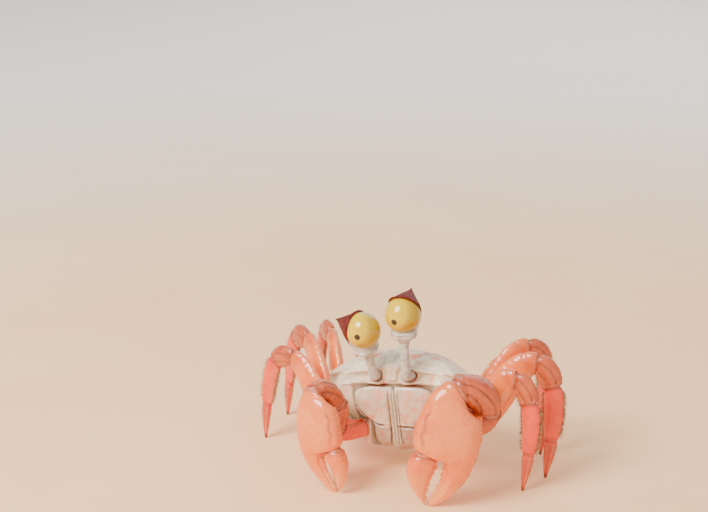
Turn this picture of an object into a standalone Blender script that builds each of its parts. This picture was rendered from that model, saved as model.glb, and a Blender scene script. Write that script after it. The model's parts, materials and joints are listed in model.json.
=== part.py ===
"""Ghost crab: a still, life-size model that crouches on its eight feet and the tips of its claws.

Metres, +Z up. The crab faces -Y and its left side is +X. The floor is at Z = 0.
Body points are in the body's own axes, which the stance then pitches and rolls. Limb points
are worked out for a left limb and mirrored for a right one.
"""

from math import asin, copysign, cos, pi, radians, sin

import bmesh
import bpy
from mathutils import Matrix, Vector

MM = 0.001
GAP = 0.3 * MM  # clearance between neighbouring pieces

# Stance
BODY_HEIGHT = 24.3 * MM
PITCH = radians(16)
ROLL = radians(5)

# Carapace
HALF_WIDTH = 22.5 * MM
HALF_LENGTH = 18.6 * MM
SHELL_BOTTOM = -8.5 * MM
DOME = 5.4 * MM
TOOTH_X = 20.9 * MM  # the sharp corner at the outer end of each eye socket
LOBE_X = 2.4 * MM  # half-width of the narrow lobe between the eyes
SOCKET_Y = -13.2 * MM  # back wall of the eye sockets
SOCKET_FLOOR = 0.735
SOCKET_ROOF = 0.925
MOUTH_HALF_WIDTH = 14.4 * MM
MOUTH_SLOPE = 0.39  # the mouth plane runs back towards its lower end
MOUTH_TOP = 3.6 * MM

# Underside
THORAX_BOTTOM = -17.4 * MM
THORAX_CORNERS = [(8.8, -12.1), (12.3, -8.2), (13.2, -2.6), (13.2, 3.0), (11.8, 8.6), (7.4, 12.4)]
HIP_LEVEL = -11.9 * MM

# Eyes
CORNEA = (6.0 * MM, 5.8 * MM, 5.6 * MM)  # half-height, half-width, half-depth
STRIP_REACH = 6.9 * MM  # from the middle of the cornea back to the strip of stalk behind it

# Sides of the tube-shaped pieces
LIMB_SIDES = 10
CLAW_SIDES = 14

COLOURS = {
    "shell": ((0.72, 0.69, 0.62), 0.42),
    "under_shell": ((0.74, 0.66, 0.56), 0.45),
    "mouth_plate": ((0.56, 0.46, 0.38), 0.42),
    "limb_upper": ((0.93, 0.50, 0.29), 0.33),
    "limb_joint": ((0.62, 0.26, 0.14), 0.36),
    "limb_lower": ((0.90, 0.28, 0.19), 0.34),
    "cornea": ((0.92, 0.70, 0.08), 0.08),
}


def clear_scene():
    for item in list(bpy.data.objects):
        bpy.data.objects.remove(item)


def material(slot):
    found = bpy.data.materials.get(slot)
    if found:
        return found
    colour, roughness = COLOURS[slot]
    made = bpy.data.materials.new(slot)
    made.use_nodes = True
    shader = made.node_tree.nodes["Principled BSDF"]
    shader.inputs["Base Color"].default_value = (*colour, 1)
    shader.inputs["Roughness"].default_value = roughness
    shader.inputs["Metallic"].default_value = 0
    return made


def body_matrix(roll):
    """Carries the body's own axes to the world."""
    turn = Matrix.Rotation(-PITCH, 4, "X") @ Matrix.Rotation(-roll, 4, "Y")
    return Matrix.Translation((0, 0, BODY_HEIGHT)) @ turn


def loft(name, rings, slot, mirrored=False, poles=(None, None)):
    """One closed solid through the rings. Each end is closed with a fan round its pole."""
    shape = bmesh.new()
    flip = -1 if mirrored else 1
    rows = [[shape.verts.new((p.x * flip, p.y, p.z)) for p in ring] for ring in rings]
    count = len(rows[0])
    for low, high in zip(rows, rows[1:]):
        for i in range(count):
            j = (i + 1) % count
            shape.faces.new((low[i], low[j], high[j], high[i]))
    for row, ring, pole in ((rows[0], rings[0], poles[0]), (rows[-1], rings[-1], poles[1])):
        middle = pole or sum(ring, Vector()) / count
        centre = shape.verts.new((middle.x * flip, middle.y, middle.z))
        for i in range(count):
            shape.faces.new((row[i], row[(i + 1) % count], centre))
    bmesh.ops.recalc_face_normals(shape, faces=shape.faces)
    mesh = bpy.data.meshes.new(name)
    shape.to_mesh(mesh)
    shape.free()
    mesh.materials.append(material(slot))
    mesh.shade_smooth()
    mesh.set_sharp_from_angle(angle=radians(50))
    made = bpy.data.objects.new(name, mesh)
    bpy.context.scene.collection.objects.link(made)
    return made


def blend(values, t):
    """Smooth value at t through evenly spaced values."""
    spans = len(values) - 1
    i = min(int(t * spans), spans - 1)
    u = t * spans - i
    a, b = values[i], values[i + 1]
    before = values[i - 1] if i else 2 * a - b
    after = values[i + 2] if i + 2 <= spans else 2 * b - a
    return (
        a
        + 0.5 * u * (b - before)
        + u * u * (before - 2.5 * a + 2 * b - 0.5 * after)
        + u**3 * (1.5 * (a - b) + 0.5 * (after - before))
    )


def ring_around(centre, along, side, breadth, thickness, count, power=2.3):
    """A rounded ring. Breadth runs across both along and side, thickness along side."""
    across = along.cross(side).normalized()
    flat = across.cross(along).normalized()
    points = []
    for i in range(count):
        turn = 2 * pi * i / count
        c, s = cos(turn), sin(turn)
        out = copysign(abs(c) ** (2 / power), c) * breadth
        up = copysign(abs(s) ** (2 / power), s) * thickness
        points.append(centre + across * out + flat * up)
    return points


def hermite(start, end, start_way, end_way, pull, t):
    """Point and direction at t of a curve that leaves and arrives in the given ways."""
    length = (end - start).length * pull
    a, b = start_way * length, end_way * length
    h = (2 * t**3 - 3 * t**2 + 1, t**3 - 2 * t**2 + t, 3 * t**2 - 2 * t**3, t**3 - t**2)
    d = (6 * t**2 - 6 * t, 3 * t**2 - 4 * t + 1, 6 * t - 6 * t**2, 3 * t**2 - 2 * t)
    point = start * h[0] + a * h[1] + end * h[2] + b * h[3]
    way = start * d[0] + a * d[1] + end * d[2] + b * d[3]
    return point, way.normalized()


def between(first, second):
    """The way halfway between two ways, where two pieces meet."""
    return (first.normalized() + second.normalized()).normalized()


def limb_piece(name, ends, ways, side, breadth, thickness, slot, mirrored, **options):
    """A tube-shaped piece between two joints, held back from each by half the gap."""
    count = options.get("count", LIMB_SIDES)
    stations = options.get("stations", (0, 0.06, 0.25, 0.5, 0.75, 0.94, 1))
    start = ends[0] + ways[0] * GAP / 2
    end = ends[1] - ways[1] * GAP / 2
    rings = []
    for t in stations:
        point, way = hermite(start, end, ways[0], ways[1], options.get("pull", 0.8), t)
        half_breadth, half_thickness = blend(breadth, t), blend(thickness, t)
        rings.append(ring_around(point, way, side, half_breadth, half_thickness, count))
    return loft(name, rings, slot, mirrored)


# Carapace --------------------------------------------------------------------


def margin_height(x, y):
    """Height of the shell's edge, which falls towards the rear and the sides."""
    x, y = x / MM, y / MM
    return (9.8 - 0.0043 * (y + 17) ** 2 - 0.0058 * x**2) * MM


def front_margin(x):
    """The wavy edge over the eye sockets, with the lobe between the eyes."""
    if x <= LOBE_X:
        return -19.3 * MM
    wave = cos(2 * pi * (x - 3.6 * MM) / (TOOTH_X - 3.6 * MM))
    return -(16.3 + 1.2 * wave) * MM


def dorsal_half():
    """Left half of the shell's edge seen from above, front to rear, as (kind, x, y)."""
    front = [("front", x * MM, front_margin(x * MM)) for x in (0, 2.4, 3.6, 7.6, 12.4, 13.3, 16.9)]
    tooth = [("tooth", TOOTH_X, -18.0 * MM)]
    side = [
        ("side", HALF_WIDTH - 14.5 * (y + 4) ** 2 * 1e-6, y * MM)
        for y in (-15, -10.5, -5, 0.5, 6, 11, 14.6)
    ]
    rear = [("rear", x * MM, (HALF_LENGTH / MM - 0.012 * x * x) * MM) for x in (13.4, 9, 4.5, 0)]
    return front + tooth + side + rear


def mouth_plane(height):
    """Y of the flat bed that the mouth plates lie on."""
    return -15.0 * MM + MOUTH_SLOPE * (MOUTH_TOP - height)


def wall_swell(level):
    """Width of the side wall as a share of the margin's. It tucks in over the legs."""
    return 1 - 0.3 * max(0, 1 - level / 0.75) ** 1.8


def cheek(x, level):
    """Y of the face beside the mouth plates."""
    return -(17.4 - 3.6 * (1 - level) ** 1.5 - 2.4 * (x / TOOTH_X) ** 4) * MM


def face_point(kind, x, y, level, height):
    """Where the front of the shell lies at a level up the wall."""
    if kind == "tooth" and level < SOCKET_ROOF:
        return -15.4 * MM * (0.86 + 0.14 * min(1, level / 0.6))
    if level > SOCKET_ROOF + 0.01:
        return y
    if x <= LOBE_X and level > SOCKET_FLOOR - 0.01:
        return -(17.8 + 1.2 * (level > 0.9)) * MM
    if SOCKET_FLOOR - 0.01 < level:
        return SOCKET_Y
    if x < MOUTH_HALF_WIDTH - 0.5 * MM and height < MOUTH_TOP + 0.2 * MM:
        return mouth_plane(height)
    return cheek(x, level)


def wall_ring(level):
    """Ring of the wall at a level between the lower edge and the margin."""
    half = []
    swell = wall_swell(level)
    for kind, x, y in dorsal_half():
        height = SHELL_BOTTOM + level * (margin_height(x, y) - SHELL_BOTTOM)
        if kind in ("front", "tooth"):
            width = 1 + (swell - 1) * (x / TOOTH_X) ** 2
            half.append(Vector((x * width, face_point(kind, x, y, level, height), height)))
        else:
            tuck = 0.2 * (1 - min(1, level / 0.6)) ** 1.5
            rearward = y * (1 - tuck) if y > 0 else y * (1 - 0.5 * tuck)
            half.append(Vector((x * swell, rearward, height)))
    return half


def dome_ring(scale):
    """Ring of the domed top, the margin drawn in to a scale."""
    rise = DOME * (1 - scale**2.4)
    half = []
    for _, x, y in dorsal_half():
        inner_x, inner_y = x * scale, y * scale + 0.5 * MM * (1 - scale)
        half.append(Vector((inner_x, inner_y, margin_height(inner_x, inner_y) + rise)))
    return half


def both_halves(half):
    return half + [Vector((-p.x, p.y, p.z)) for p in reversed(half[1:-1])]


def carapace(stance):
    wall_levels = (0, 0.19, 0.42, 0.615, 0.68, SOCKET_FLOOR, SOCKET_ROOF, 0.96, 1)
    dome_scales = (0.93, 0.76, 0.52, 0.26)
    halves = [wall_ring(level) for level in wall_levels] + [dome_ring(s) for s in dome_scales]
    rings = [[stance @ p for p in both_halves(half)] for half in halves]
    top = stance @ Vector((0, 0.5 * MM, margin_height(0, 0.5 * MM) + DOME))
    loft("carapace", rings, "shell", poles=(None, top))


def thorax(stance):
    """Underside block that carries the limbs, one flat facet for each hip."""
    corners = [Vector((x * MM, y * MM, 0)) for x, y in THORAX_CORNERS]
    rings = []
    for height, scale in (
        (SHELL_BOTTOM - GAP, 1),
        (THORAX_BOTTOM + 1.1 * MM, 1),
        (THORAX_BOTTOM + 0.3 * MM, 0.93),
        (THORAX_BOTTOM, 0.8),
    ):
        bed = mouth_plane(height) * scale
        half = [Vector((0, bed, height)), Vector((7.6 * MM * scale, bed, height))]
        half += [Vector((c.x * scale, c.y * scale, height)) for c in corners]
        half.append(Vector((0, corners[-1].y * scale, height)))
        rings.append([stance @ p for p in both_halves(half)])
    loft("thorax", rings, "under_shell")


def abdomen(stance):
    """The tail flap, folded from the rear edge forward under the thorax."""
    route = [
        (19.7, 2.4), (19.6, -1.0), (18.7, -4.8), (17.2, -9.1), (15.5, -13.8), (12.0, -18.0),
        (3.0, -18.7), (-4.4, -18.7),
    ]
    half_widths = (8.0, 8.8, 9.0, 8.5, 7.2, 5.6, 3.9, 2.0)
    half_thickness = 0.62 * MM
    points = [Vector((0, y * MM, z * MM)) for y, z in route]
    rings = []
    for i, point in enumerate(points):
        way = (points[min(i + 1, len(points) - 1)] - points[max(i - 1, 0)]).normalized()
        side = way.cross(Vector((1, 0, 0)))
        ring = ring_around(point, way, side, half_widths[i] * MM, half_thickness, 10, 3)
        rings.append([stance @ p for p in ring])
    loft("abdomen", rings, "under_shell")


def mouth_plate(stance, name, sign):
    """One of the two broad outer jaw plates that close the mouth like doors."""
    down = Vector((0, MOUTH_SLOPE, -1)).normalized()
    out = Vector((0, -1, -MOUTH_SLOPE)).normalized()
    top = Vector((0, mouth_plane(MOUTH_TOP) - GAP * 1.7, MOUTH_TOP - 0.45 * MM))
    length = 22.0 * MM
    inner = 0.35 * MM
    # across in millimetres, down as a share of the length
    outline = [
        (3.6, 0.0), (9.2, 0.01), (12.9, 0.09), (13.4, 0.3), (12.0, 0.45), (7.9, 0.585),
        (7.3, 0.86), (5.6, 0.98), (3.0, 1.0),
    ]
    outline = [(x * MM, share) for x, share in outline]
    outline = [(inner, 0.04)] + outline + [(inner, 0.97), (inner, 0.64), (inner, 0.34)]
    centre = Vector((5.4 * MM, 0, 0)) + down * length * 0.46
    rings = []
    for lift, scale in ((0, 1), (1.1 * MM, 1), (2.1 * MM, 0.87), (2.9 * MM, 0.5)):
        ring = []
        for x, share in outline:
            flat = Vector((x, 0, 0)) + down * length * share
            ring.append(stance @ (top + centre + (flat - centre) * scale + out * lift))
        rings.append(ring)
    pole = stance @ (top + centre + out * 3.1 * MM)
    loft(name, rings, "mouth_plate", sign < 0, (None, pole))


# Eyes ------------------------------------------------------------------------


def stalk_rings(root, foot, upright, away, horn_out, height):
    """Neck, cup, the strip up the back of the cornea, and the broad horn beyond it.

    The strip lies on the side of the cornea that away points from. The horn's sides run on
    from the cornea's own curve, so that eye and horn together have the outline of a drop.
    """
    rings = []
    for share, size in ((0, 1.7 * MM), (0.8, 1.85 * MM)):
        way = (foot - root).normalized().lerp(upright, share**3).normalized()
        rings.append(ring_around(root.lerp(foot, share), way, away, size, size, LIMB_SIDES))
    rings.append(ring_around(foot + upright * 2.2 * MM, upright, away, 1.65 * MM, 1.6 * MM, LIMB_SIDES))
    middle = foot + upright * height
    # depth below the middle of the cornea, shift to the rear, half-breadth, half-thickness
    for drop, back, breadth, thickness in (
        (10.2, 0.0, 1.65, 1.6),
        (8.2, 0.1, 2.5, 2.4),
        (6.8, 0.2, 3.9, 3.7),
        (5.1, 0.9, 4.2, 3.9),
    ):
        centre = middle - upright * drop * MM - away * back * MM
        rings.append(ring_around(centre, upright, away, breadth * MM, thickness * MM, LIMB_SIDES))
    if horn_out < radians(60):
        turn = -horn_out / 2
        way = upright * cos(turn) + away * sin(turn)
        inward = away * cos(turn) - upright * sin(turn)
        centre = middle - inward * STRIP_REACH
        rings.append(ring_around(centre, way, inward, 3.6 * MM, 1.25 * MM, LIMB_SIDES))
    horn = upright * cos(horn_out) - away * sin(horn_out)
    # distance from the middle of the cornea and half-breadth
    for reach, size in ((3.4, 5.5), (4.8, 4.65), (6.7, 3.2), (8.9, 1.65), (11.2, 0.35)):
        centre = middle + horn * reach * MM
        rings.append(ring_around(centre, horn, away, size * MM, size * MM, LIMB_SIDES, 2))
    return rings


def cornea(name, middle, upright, front, grow, mirrored):
    """An egg-shaped eye, standing on its narrow end."""
    tall, wide, deep = (size + grow for size in CORNEA)
    rings = []
    for i in range(1, 12):
        turn = pi * i / 12
        centre = middle - upright * cos(turn) * tall
        rings.append(ring_around(centre, upright, front, wide * sin(turn), deep * sin(turn), 18, 2))
    return loft(name, rings, "cornea", mirrored, (middle - upright * tall, middle + upright * tall))


def eye(stance, word, sign, height, lean_out, lean_front, horn_out, horn_turn):
    """A cornea in a cup on a stalk that rises behind it into a short broad horn."""
    upright = Vector((sin(lean_out), -sin(lean_front), cos(lean_out))).normalized()
    front = Vector((0.35, -1, 0))
    front = (front - upright * upright.dot(front)).normalized()
    outward = upright.cross(front)
    away = front * cos(horn_turn) - outward * sin(horn_turn)
    root = stance @ Vector((5.6 * MM, -15.2 * MM, 6.5 * MM))
    foot = root + Vector((-0.2, -4.6, 1.6)) * MM
    rings = stalk_rings(root, foot, upright, away, horn_out, height)
    stalk = loft("eyestalk_" + word, rings, "shell", sign < 0)
    middle = foot + upright * height
    cornea("cornea_" + word, middle, upright, front, 0, sign < 0)
    cutter = cornea("cornea_seat_" + word, middle, upright, front, GAP, sign < 0)
    cutter.hide_render = True
    cutter.display_type = "WIRE"
    cut = stalk.modifiers.new("seat", "BOOLEAN")
    cut.operation = "DIFFERENCE"
    cut.solver = "EXACT"
    cut.object = cutter


# Claws -----------------------------------------------------------------------


def claw(stance, word, sign, size, elbow, wrist, tip, arm_side):
    """A folded pincer: hip, upper arm, wrist block, palm with its fixed finger, moving finger."""
    mirrored = sign < 0
    facing = Vector((0.28, -1, 0.05)).normalized()  # the way the palm's broad outer face looks
    hip_start, hip_way = hip_facet(stance, 0)
    shoulder = stance @ Vector((17.2 * MM, -20.2 * MM, -11.4 * MM))
    elbow, wrist, tip = (Vector(p) * MM for p in (elbow, wrist, tip))
    ways = [
        hip_way,
        between(shoulder - hip_start, elbow - shoulder),
        between(elbow - shoulder, wrist - elbow),
        between(wrist - elbow, tip - wrist),
    ]
    arm_side = Vector(arm_side).normalized()

    def piece(kind, i, ends, breadth, thickness, slot, pull):
        wide = [b * size * MM for b in breadth]
        deep = [b * size * MM for b in thickness]
        limb_piece(
            f"claw_{kind}_{word}", ends, (ways[i], ways[i + 1]), arm_side, wide, deep, slot,
            mirrored, pull=pull, count=12,
        )

    limb_piece(
        f"claw_hip_{word}", (hip_start, shoulder), ways[:2], arm_side,
        (2.5 * MM, 2.7 * MM, 2.9 * MM), (2.4 * MM, 2.6 * MM, 2.7 * MM), "limb_lower", mirrored,
    )
    piece("arm", 1, (shoulder, elbow), (3.0, 4.3, 4.9, 4.4), (2.8, 3.7, 4.3, 3.8), "limb_joint", 0.8)
    piece("wrist", 2, (elbow, wrist), (4.2, 5.2, 5.2, 4.5), (3.8, 4.7, 4.7, 4.0), "limb_joint", 1.1)
    palm_and_finger(word, mirrored, size, (wrist, tip), ways[3], facing)


def palm_and_finger(word, mirrored, size, ends, start_way, facing):
    """Palm sizes are shares of its height; lateral edges are +, medial edges -."""
    wrist, tip = ends
    height = 20.6 * MM * size
    start = wrist + start_way * GAP / 2
    axis = (tip - start).normalized()
    length = (tip - start).length

    def section(share, lateral, medial, thickness, count):
        """A ring between the two edges, its plane turning from the wrist's to the axis's."""
        way = start_way.lerp(axis, min(1, share / 0.16)).normalized()
        bow = sin(pi * min(1, share)) * 0.05 * length
        centre = start + axis * share * length + facing * bow
        across = way.cross(facing).normalized()  # towards the middle of the body
        centre = centre - across * (lateral + medial) / 2 * height
        half = (lateral - medial) / 2 * height
        return ring_around(centre, way, facing, half, thickness * height, count, 2.4)

    palm_sections = [
        (0.0, 0.25, -0.25, 0.18),
        (0.05, 0.33, -0.34, 0.21),
        (0.18, 0.45, -0.47, 0.25),
        (0.34, 0.50, -0.52, 0.265),
        (0.47, 0.50, -0.49, 0.25),
        (0.535, 0.49, -0.42, 0.23),
        (0.565, 0.48, 0.02, 0.19),
        (0.66, 0.45, 0.07, 0.16),
        (0.80, 0.34, 0.04, 0.12),
        (0.92, 0.18, -0.02, 0.08),
    ]
    rings = [section(*values, CLAW_SIDES) for values in palm_sections]
    rings.append(floor_ring(tip, 0.55 * MM, CLAW_SIDES, rings[-1]))
    loft(f"claw_palm_{word}", rings, "limb_upper", mirrored)
    finger_sections = [
        (0.572, -0.06, -0.46, 0.19),
        (0.60, -0.07, -0.49, 0.20),
        (0.70, -0.10, -0.49, 0.17),
        (0.82, -0.13, -0.41, 0.12),
        (0.92, -0.12, -0.27, 0.08),
        (0.975, -0.10, -0.16, 0.035),
    ]
    rings = [section(*values, LIMB_SIDES) for values in finger_sections]
    loft(f"claw_finger_{word}", rings, "limb_upper", mirrored)


def floor_ring(centre, radius, count, like):
    """A level ring on the floor, its points in the same order as the ring above."""
    middle = sum(like, Vector()) / len(like)
    across = (like[0] - middle).normalized()
    other = (like[count // 4] - middle).normalized()
    level_across = Vector((across.x, across.y, 0)).normalized()
    level_other = Vector((-level_across.y, level_across.x, 0))
    if level_other.dot(other) < 0:
        level_other = -level_other
    floor = Vector((centre.x, centre.y, 0))
    turns = [2 * pi * i / count for i in range(count)]
    return [floor + (level_across * cos(t) + level_other * sin(t)) * radius for t in turns]


# Walking legs ----------------------------------------------------------------


def hip_facet(stance, number):
    """Where a hip leaves the thorax, and the way it points. Number 0 is the claw's."""
    a, b = (Vector((x * MM, y * MM, 0)) for x, y in THORAX_CORNERS[number : number + 2])
    outward = Vector((b.y - a.y, a.x - b.x, 0)).normalized()
    centre = (a + b) / 2 + outward * GAP / 2
    centre.z = HIP_LEVEL
    way = (stance.to_3x3() @ outward).normalized()
    return stance @ centre, way


LEGS = [
    # base beside the thorax, headings towards the rear in degrees on its left and on its
    # right, lengths, scale of the girth
    {"base": (21.4, -8.4, -11.2), "headings": (-9, 24), "lengths": (27.0, 8.5, 17.5, 13.5), "girth": 0.9},
    {"base": (22.0, -1.2, -11.4), "headings": (4, 44), "lengths": (32.5, 9.2, 18.5, 14.0), "girth": 1.0},
    {"base": (21.2, 6.2, -11.4), "headings": (30, 56), "lengths": (32.0, 9.2, 18.5, 14.0), "girth": 0.95},
    {"base": (17.0, 14.9, -11.9), "headings": (46, 66), "lengths": (24.5, 7.8, 14.5, 11.5), "girth": 0.74},
]


def walking_leg(stance, word, sign, number, lower_angles):
    """Hip, upper leg, knee, shin and foot in one upright plane, the foot's tip on the floor."""
    leg = LEGS[number - 1]
    mirrored = sign < 0
    heading = radians(leg["headings"][0 if sign > 0 else 1])
    outward = Vector((cos(heading), sin(heading), 0))
    side = Vector((-sin(heading), cos(heading), 0))

    def way_at(angle):
        return outward * cos(angle) + Vector((0, 0, sin(angle)))

    base = stance @ (Vector(leg["base"]) * MM)
    lengths = [length * MM for length in leg["lengths"]]
    angles = [radians(a) for a in lower_angles]
    drop = -sum(length * sin(a) for length, a in zip(lengths[1:], angles))
    rise = asin((drop - base.z) / lengths[0])
    points = [base]
    for length, angle in zip(lengths, [rise] + angles):
        points.append(points[-1] + way_at(angle) * length)
    hip_start, hip_way = hip_facet(stance, number)
    ways = [hip_way, between(base - hip_start, way_at(rise))]
    ways += [between(way_at(a), way_at(b)) for a, b in zip([rise] + angles, angles)]
    girth = leg["girth"] * MM
    names = [f"leg{number}_{kind}_{word}" for kind in ("hip", "upper", "knee", "shin", "foot")]
    stout = (2.45 * MM * leg["girth"] ** 0.5, 2.6 * MM * leg["girth"] ** 0.5, 2.9 * girth)
    limb_piece(
        names[0], (hip_start, base), ways[0:2], side, stout, [s * 0.9 for s in stout],
        "limb_lower", mirrored, stations=(0, 0.1, 0.5, 0.9, 1), pull=1.0,
    )
    # half-breadths, half-thicknesses, slot and straightness of each piece
    pieces = [
        ((3.0, 4.9, 5.2, 4.6, 3.6), (1.9, 2.5, 2.6, 2.3, 1.9), "limb_upper", 0.75),
        ((3.1, 3.7, 3.9, 3.3), (1.8, 2.2, 2.2, 1.9), "limb_joint", 1.05),
        ((2.9, 3.2, 2.9, 2.3), (1.7, 1.8, 1.6, 1.3), "limb_lower", 0.7),
    ]
    for i, (breadth, thickness, slot, pull) in enumerate(pieces):
        limb_piece(
            names[i + 1], (points[i], points[i + 1]), (ways[i + 1], ways[i + 2]), side,
            [b * girth for b in breadth], [t * girth for t in thickness], slot, mirrored,
            pull=pull,
        )
    foot(names[4], (points[3], points[4]), ways[4], side, girth, mirrored)


def foot(name, ends, start_way, side, girth, mirrored):
    """A slim pointed last piece that stands on a small flat."""
    start = ends[0] + start_way * GAP / 2
    tip = ends[1]
    end_way = (tip - start).normalized().lerp(Vector((0, 0, -1)), 0.4).normalized()
    rings = []
    for t in (0, 0.07, 0.3, 0.6, 0.88):
        point, way = hermite(start, tip, start_way, end_way, 0.9, t)
        breadth = blend((2.2, 1.9, 1.5, 0.95, 0.55), t) * girth
        thickness = blend((1.25, 1.15, 0.95, 0.7, 0.5), t) * girth
        rings.append(ring_around(point, way, side, breadth, thickness, LIMB_SIDES))
    rings.append(floor_ring(tip, 0.5 * MM, LIMB_SIDES, rings[-1]))
    loft(name, rings, "limb_lower", mirrored)


# Whole animal ----------------------------------------------------------------


def centre_on_floor():
    """Moves everything so that the middle of its footprint lies at the origin."""
    shown = [o for o in bpy.context.scene.objects if o.type == "MESH" and not o.hide_render]
    xs = [v.co.x for o in shown for v in o.data.vertices]
    ys = [v.co.y for o in shown for v in o.data.vertices]
    shift = Matrix.Translation((-(min(xs) + max(xs)) / 2, -(min(ys) + max(ys)) / 2, 0))
    for item in bpy.context.scene.objects:
        item.data.transform(shift)


def ghost_crab():
    clear_scene()
    stance = body_matrix(ROLL)
    carapace(stance)
    thorax(stance)
    abdomen(stance)
    sides = [
        {
            "word": "left", "sign": 1, "eye_height": 20.5, "eye": (-4, -2, 45, 27), "claw_size": 1.0,
            "elbow": (32.6, -20.2, 29.5), "wrist": (24.8, -28.2, 37.5), "tip": (17.8, -33.7, 0.0),
            "arm_side": (0.15, -1, 0.1),
            "legs": [(-55, -89, -97), (-54, -89, -96), (-48, -87, -95), (-28, -80, -91)],
        },
        {
            "word": "right", "sign": -1, "eye_height": 16.9, "eye": (9, 12, 80, 84), "claw_size": 0.76,
            "elbow": (16.8, -22.6, 26.1), "wrist": (22.3, -29.6, 31.7), "tip": (14.2, -33.0, 0.0),
            "arm_side": (-0.75, -0.66, 0.0),
            "legs": [(-18, -74, -86), (-14, -72, -82), (-12, -70, -80), (-8, -68, -80)],
        },
    ]
    for side in sides:
        word, sign = side["word"], side["sign"]
        half = body_matrix(ROLL * sign)
        mouth_plate(half, "mouth_plate_" + word, sign)
        eye(half, word, sign, side["eye_height"] * MM, *(radians(a) for a in side["eye"]))
        claw(
            half, word, sign, side["claw_size"], side["elbow"], side["wrist"], side["tip"],
            side["arm_side"],
        )
        for number, angles in enumerate(side["legs"], start=1):
            walking_leg(half, word, sign, number, angles)
    centre_on_floor()


ghost_crab()
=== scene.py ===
import json
from math import asin, cos, pi, radians, sin

import bpy
import numpy as np
from mathutils import Matrix, Vector

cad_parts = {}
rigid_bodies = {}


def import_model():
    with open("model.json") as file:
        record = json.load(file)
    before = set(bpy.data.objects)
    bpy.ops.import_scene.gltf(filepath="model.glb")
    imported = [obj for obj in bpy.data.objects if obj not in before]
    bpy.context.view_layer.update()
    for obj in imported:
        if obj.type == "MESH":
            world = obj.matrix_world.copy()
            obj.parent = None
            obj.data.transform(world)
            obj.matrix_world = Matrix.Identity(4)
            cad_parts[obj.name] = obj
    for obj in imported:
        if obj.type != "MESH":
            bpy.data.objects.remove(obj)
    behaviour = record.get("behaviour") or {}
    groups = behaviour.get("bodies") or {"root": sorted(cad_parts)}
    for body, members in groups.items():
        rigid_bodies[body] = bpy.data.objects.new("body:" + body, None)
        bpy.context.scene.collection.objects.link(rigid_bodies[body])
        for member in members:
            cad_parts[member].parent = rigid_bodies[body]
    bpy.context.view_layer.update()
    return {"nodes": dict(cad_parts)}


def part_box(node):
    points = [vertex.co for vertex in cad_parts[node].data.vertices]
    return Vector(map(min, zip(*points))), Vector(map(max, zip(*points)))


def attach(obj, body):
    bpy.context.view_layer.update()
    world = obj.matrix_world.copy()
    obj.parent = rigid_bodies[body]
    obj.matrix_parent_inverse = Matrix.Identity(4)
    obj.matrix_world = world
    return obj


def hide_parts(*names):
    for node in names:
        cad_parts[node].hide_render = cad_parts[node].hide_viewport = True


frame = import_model()
print("frame loaded:", len(frame["nodes"]), "nodes")

# Lengths are in millimetres until makePiece, guideLine and the camera turn them into metres. The
# settings of the node trees, the floor and the lamps are in metres.
metre = 0.001


# ---- numbers and surfaces

def unit(ways):
    return ways / np.maximum(np.linalg.norm(ways, axis=-1, keepdims=True), 1e-9)


def smooth(low, high, value):  # 0 below low, 1 above high, an easy slope between
    t = np.clip((value - low) / (high - low), 0, 1)
    return t * t * (3 - 2 * t)


def band(value, a, b, c, d):  # rises from a to b and falls again from c to d
    return smooth(a, b, value) * (1 - smooth(c, d, value))


def hump(value, centre, width):
    return np.exp(-(((value - centre) / width) ** 2))


def mix(a, b, share):
    return a + (b - a) * share


def throughValues(values, t):  # a smooth curve through evenly spaced values
    values = np.asarray(values, float)
    spans = len(values) - 1
    i = np.minimum((t * spans).astype(int), spans - 1)
    u = (t * spans - i).reshape((-1,) + (1,) * (values.ndim - 1))
    wide = np.concatenate([2 * values[:1] - values[1:2], values, 2 * values[-1:] - values[-2:-1]])
    before, a, b, after = wide[i], wide[i + 1], wide[i + 2], wide[i + 3]
    bend = before - 2.5 * a + 2 * b - 0.5 * after
    return a + 0.5 * u * (b - before) + u**2 * bend + u**3 * (1.5 * (a - b) + 0.5 * (after - before))


def throughKeys(keys, values, t):  # a curve through unevenly spaced values, with no overshoot
    keys, values = np.asarray(keys, float), np.asarray(values, float)
    steps = np.diff(keys)
    slopes = np.diff(values) / steps
    total = np.where(slopes[:-1] + slopes[1:] == 0, 1, slopes[:-1] + slopes[1:])
    inner = np.where(slopes[:-1] * slopes[1:] > 0, 2 * slopes[:-1] * slopes[1:] / total, 0)
    tangents = np.concatenate([slopes[:1], inner, slopes[-1:]])
    i = np.clip(np.searchsorted(keys, t, side="right") - 1, 0, len(steps) - 1)
    h = steps[i]
    u = (t - keys[i]) / h
    near = values[i] * (2 * u**3 - 3 * u**2 + 1) + tangents[i] * h * (u**3 - 2 * u**2 + u)
    return near + values[i + 1] * (3 * u**2 - 2 * u**3) + tangents[i + 1] * h * (u**3 - u**2)


def lumps(points, size, seed, layers=6):  # soft unevenness, about -1 to 1
    chance = np.random.default_rng(seed)
    total = 0
    for _ in range(layers):
        way = unit(chance.normal(size=3))
        waveLength = size * chance.uniform(0.6, 1.7)
        total = total + np.sin(points @ way * 2 * pi / waveLength + chance.uniform(0, 6))
    return total / layers**0.5


def hermite(start, end, startWay, endWay, pull, t):
    t = t[:, None]
    length = np.linalg.norm(end - start) * pull
    a, b = startWay * length, endWay * length
    points = start * (2 * t**3 - 3 * t**2 + 1) + a * (t**3 - 2 * t**2 + t)
    points = points + end * (3 * t**2 - 2 * t**3) + b * (t**3 - t**2)
    ways = start * (6 * t**2 - 6 * t) + a * (3 * t**2 - 4 * t + 1)
    return points, unit(ways + end * (6 * t - 6 * t**2) + b * (3 * t**2 - 2 * t))


def evenTurns(count):
    return 2 * pi * np.arange(count) / count


def turnGap(turn, centre):  # angle between a turn and a centre, 0 to pi
    return np.abs((turn - centre + pi) % (2 * pi) - pi)


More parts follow.
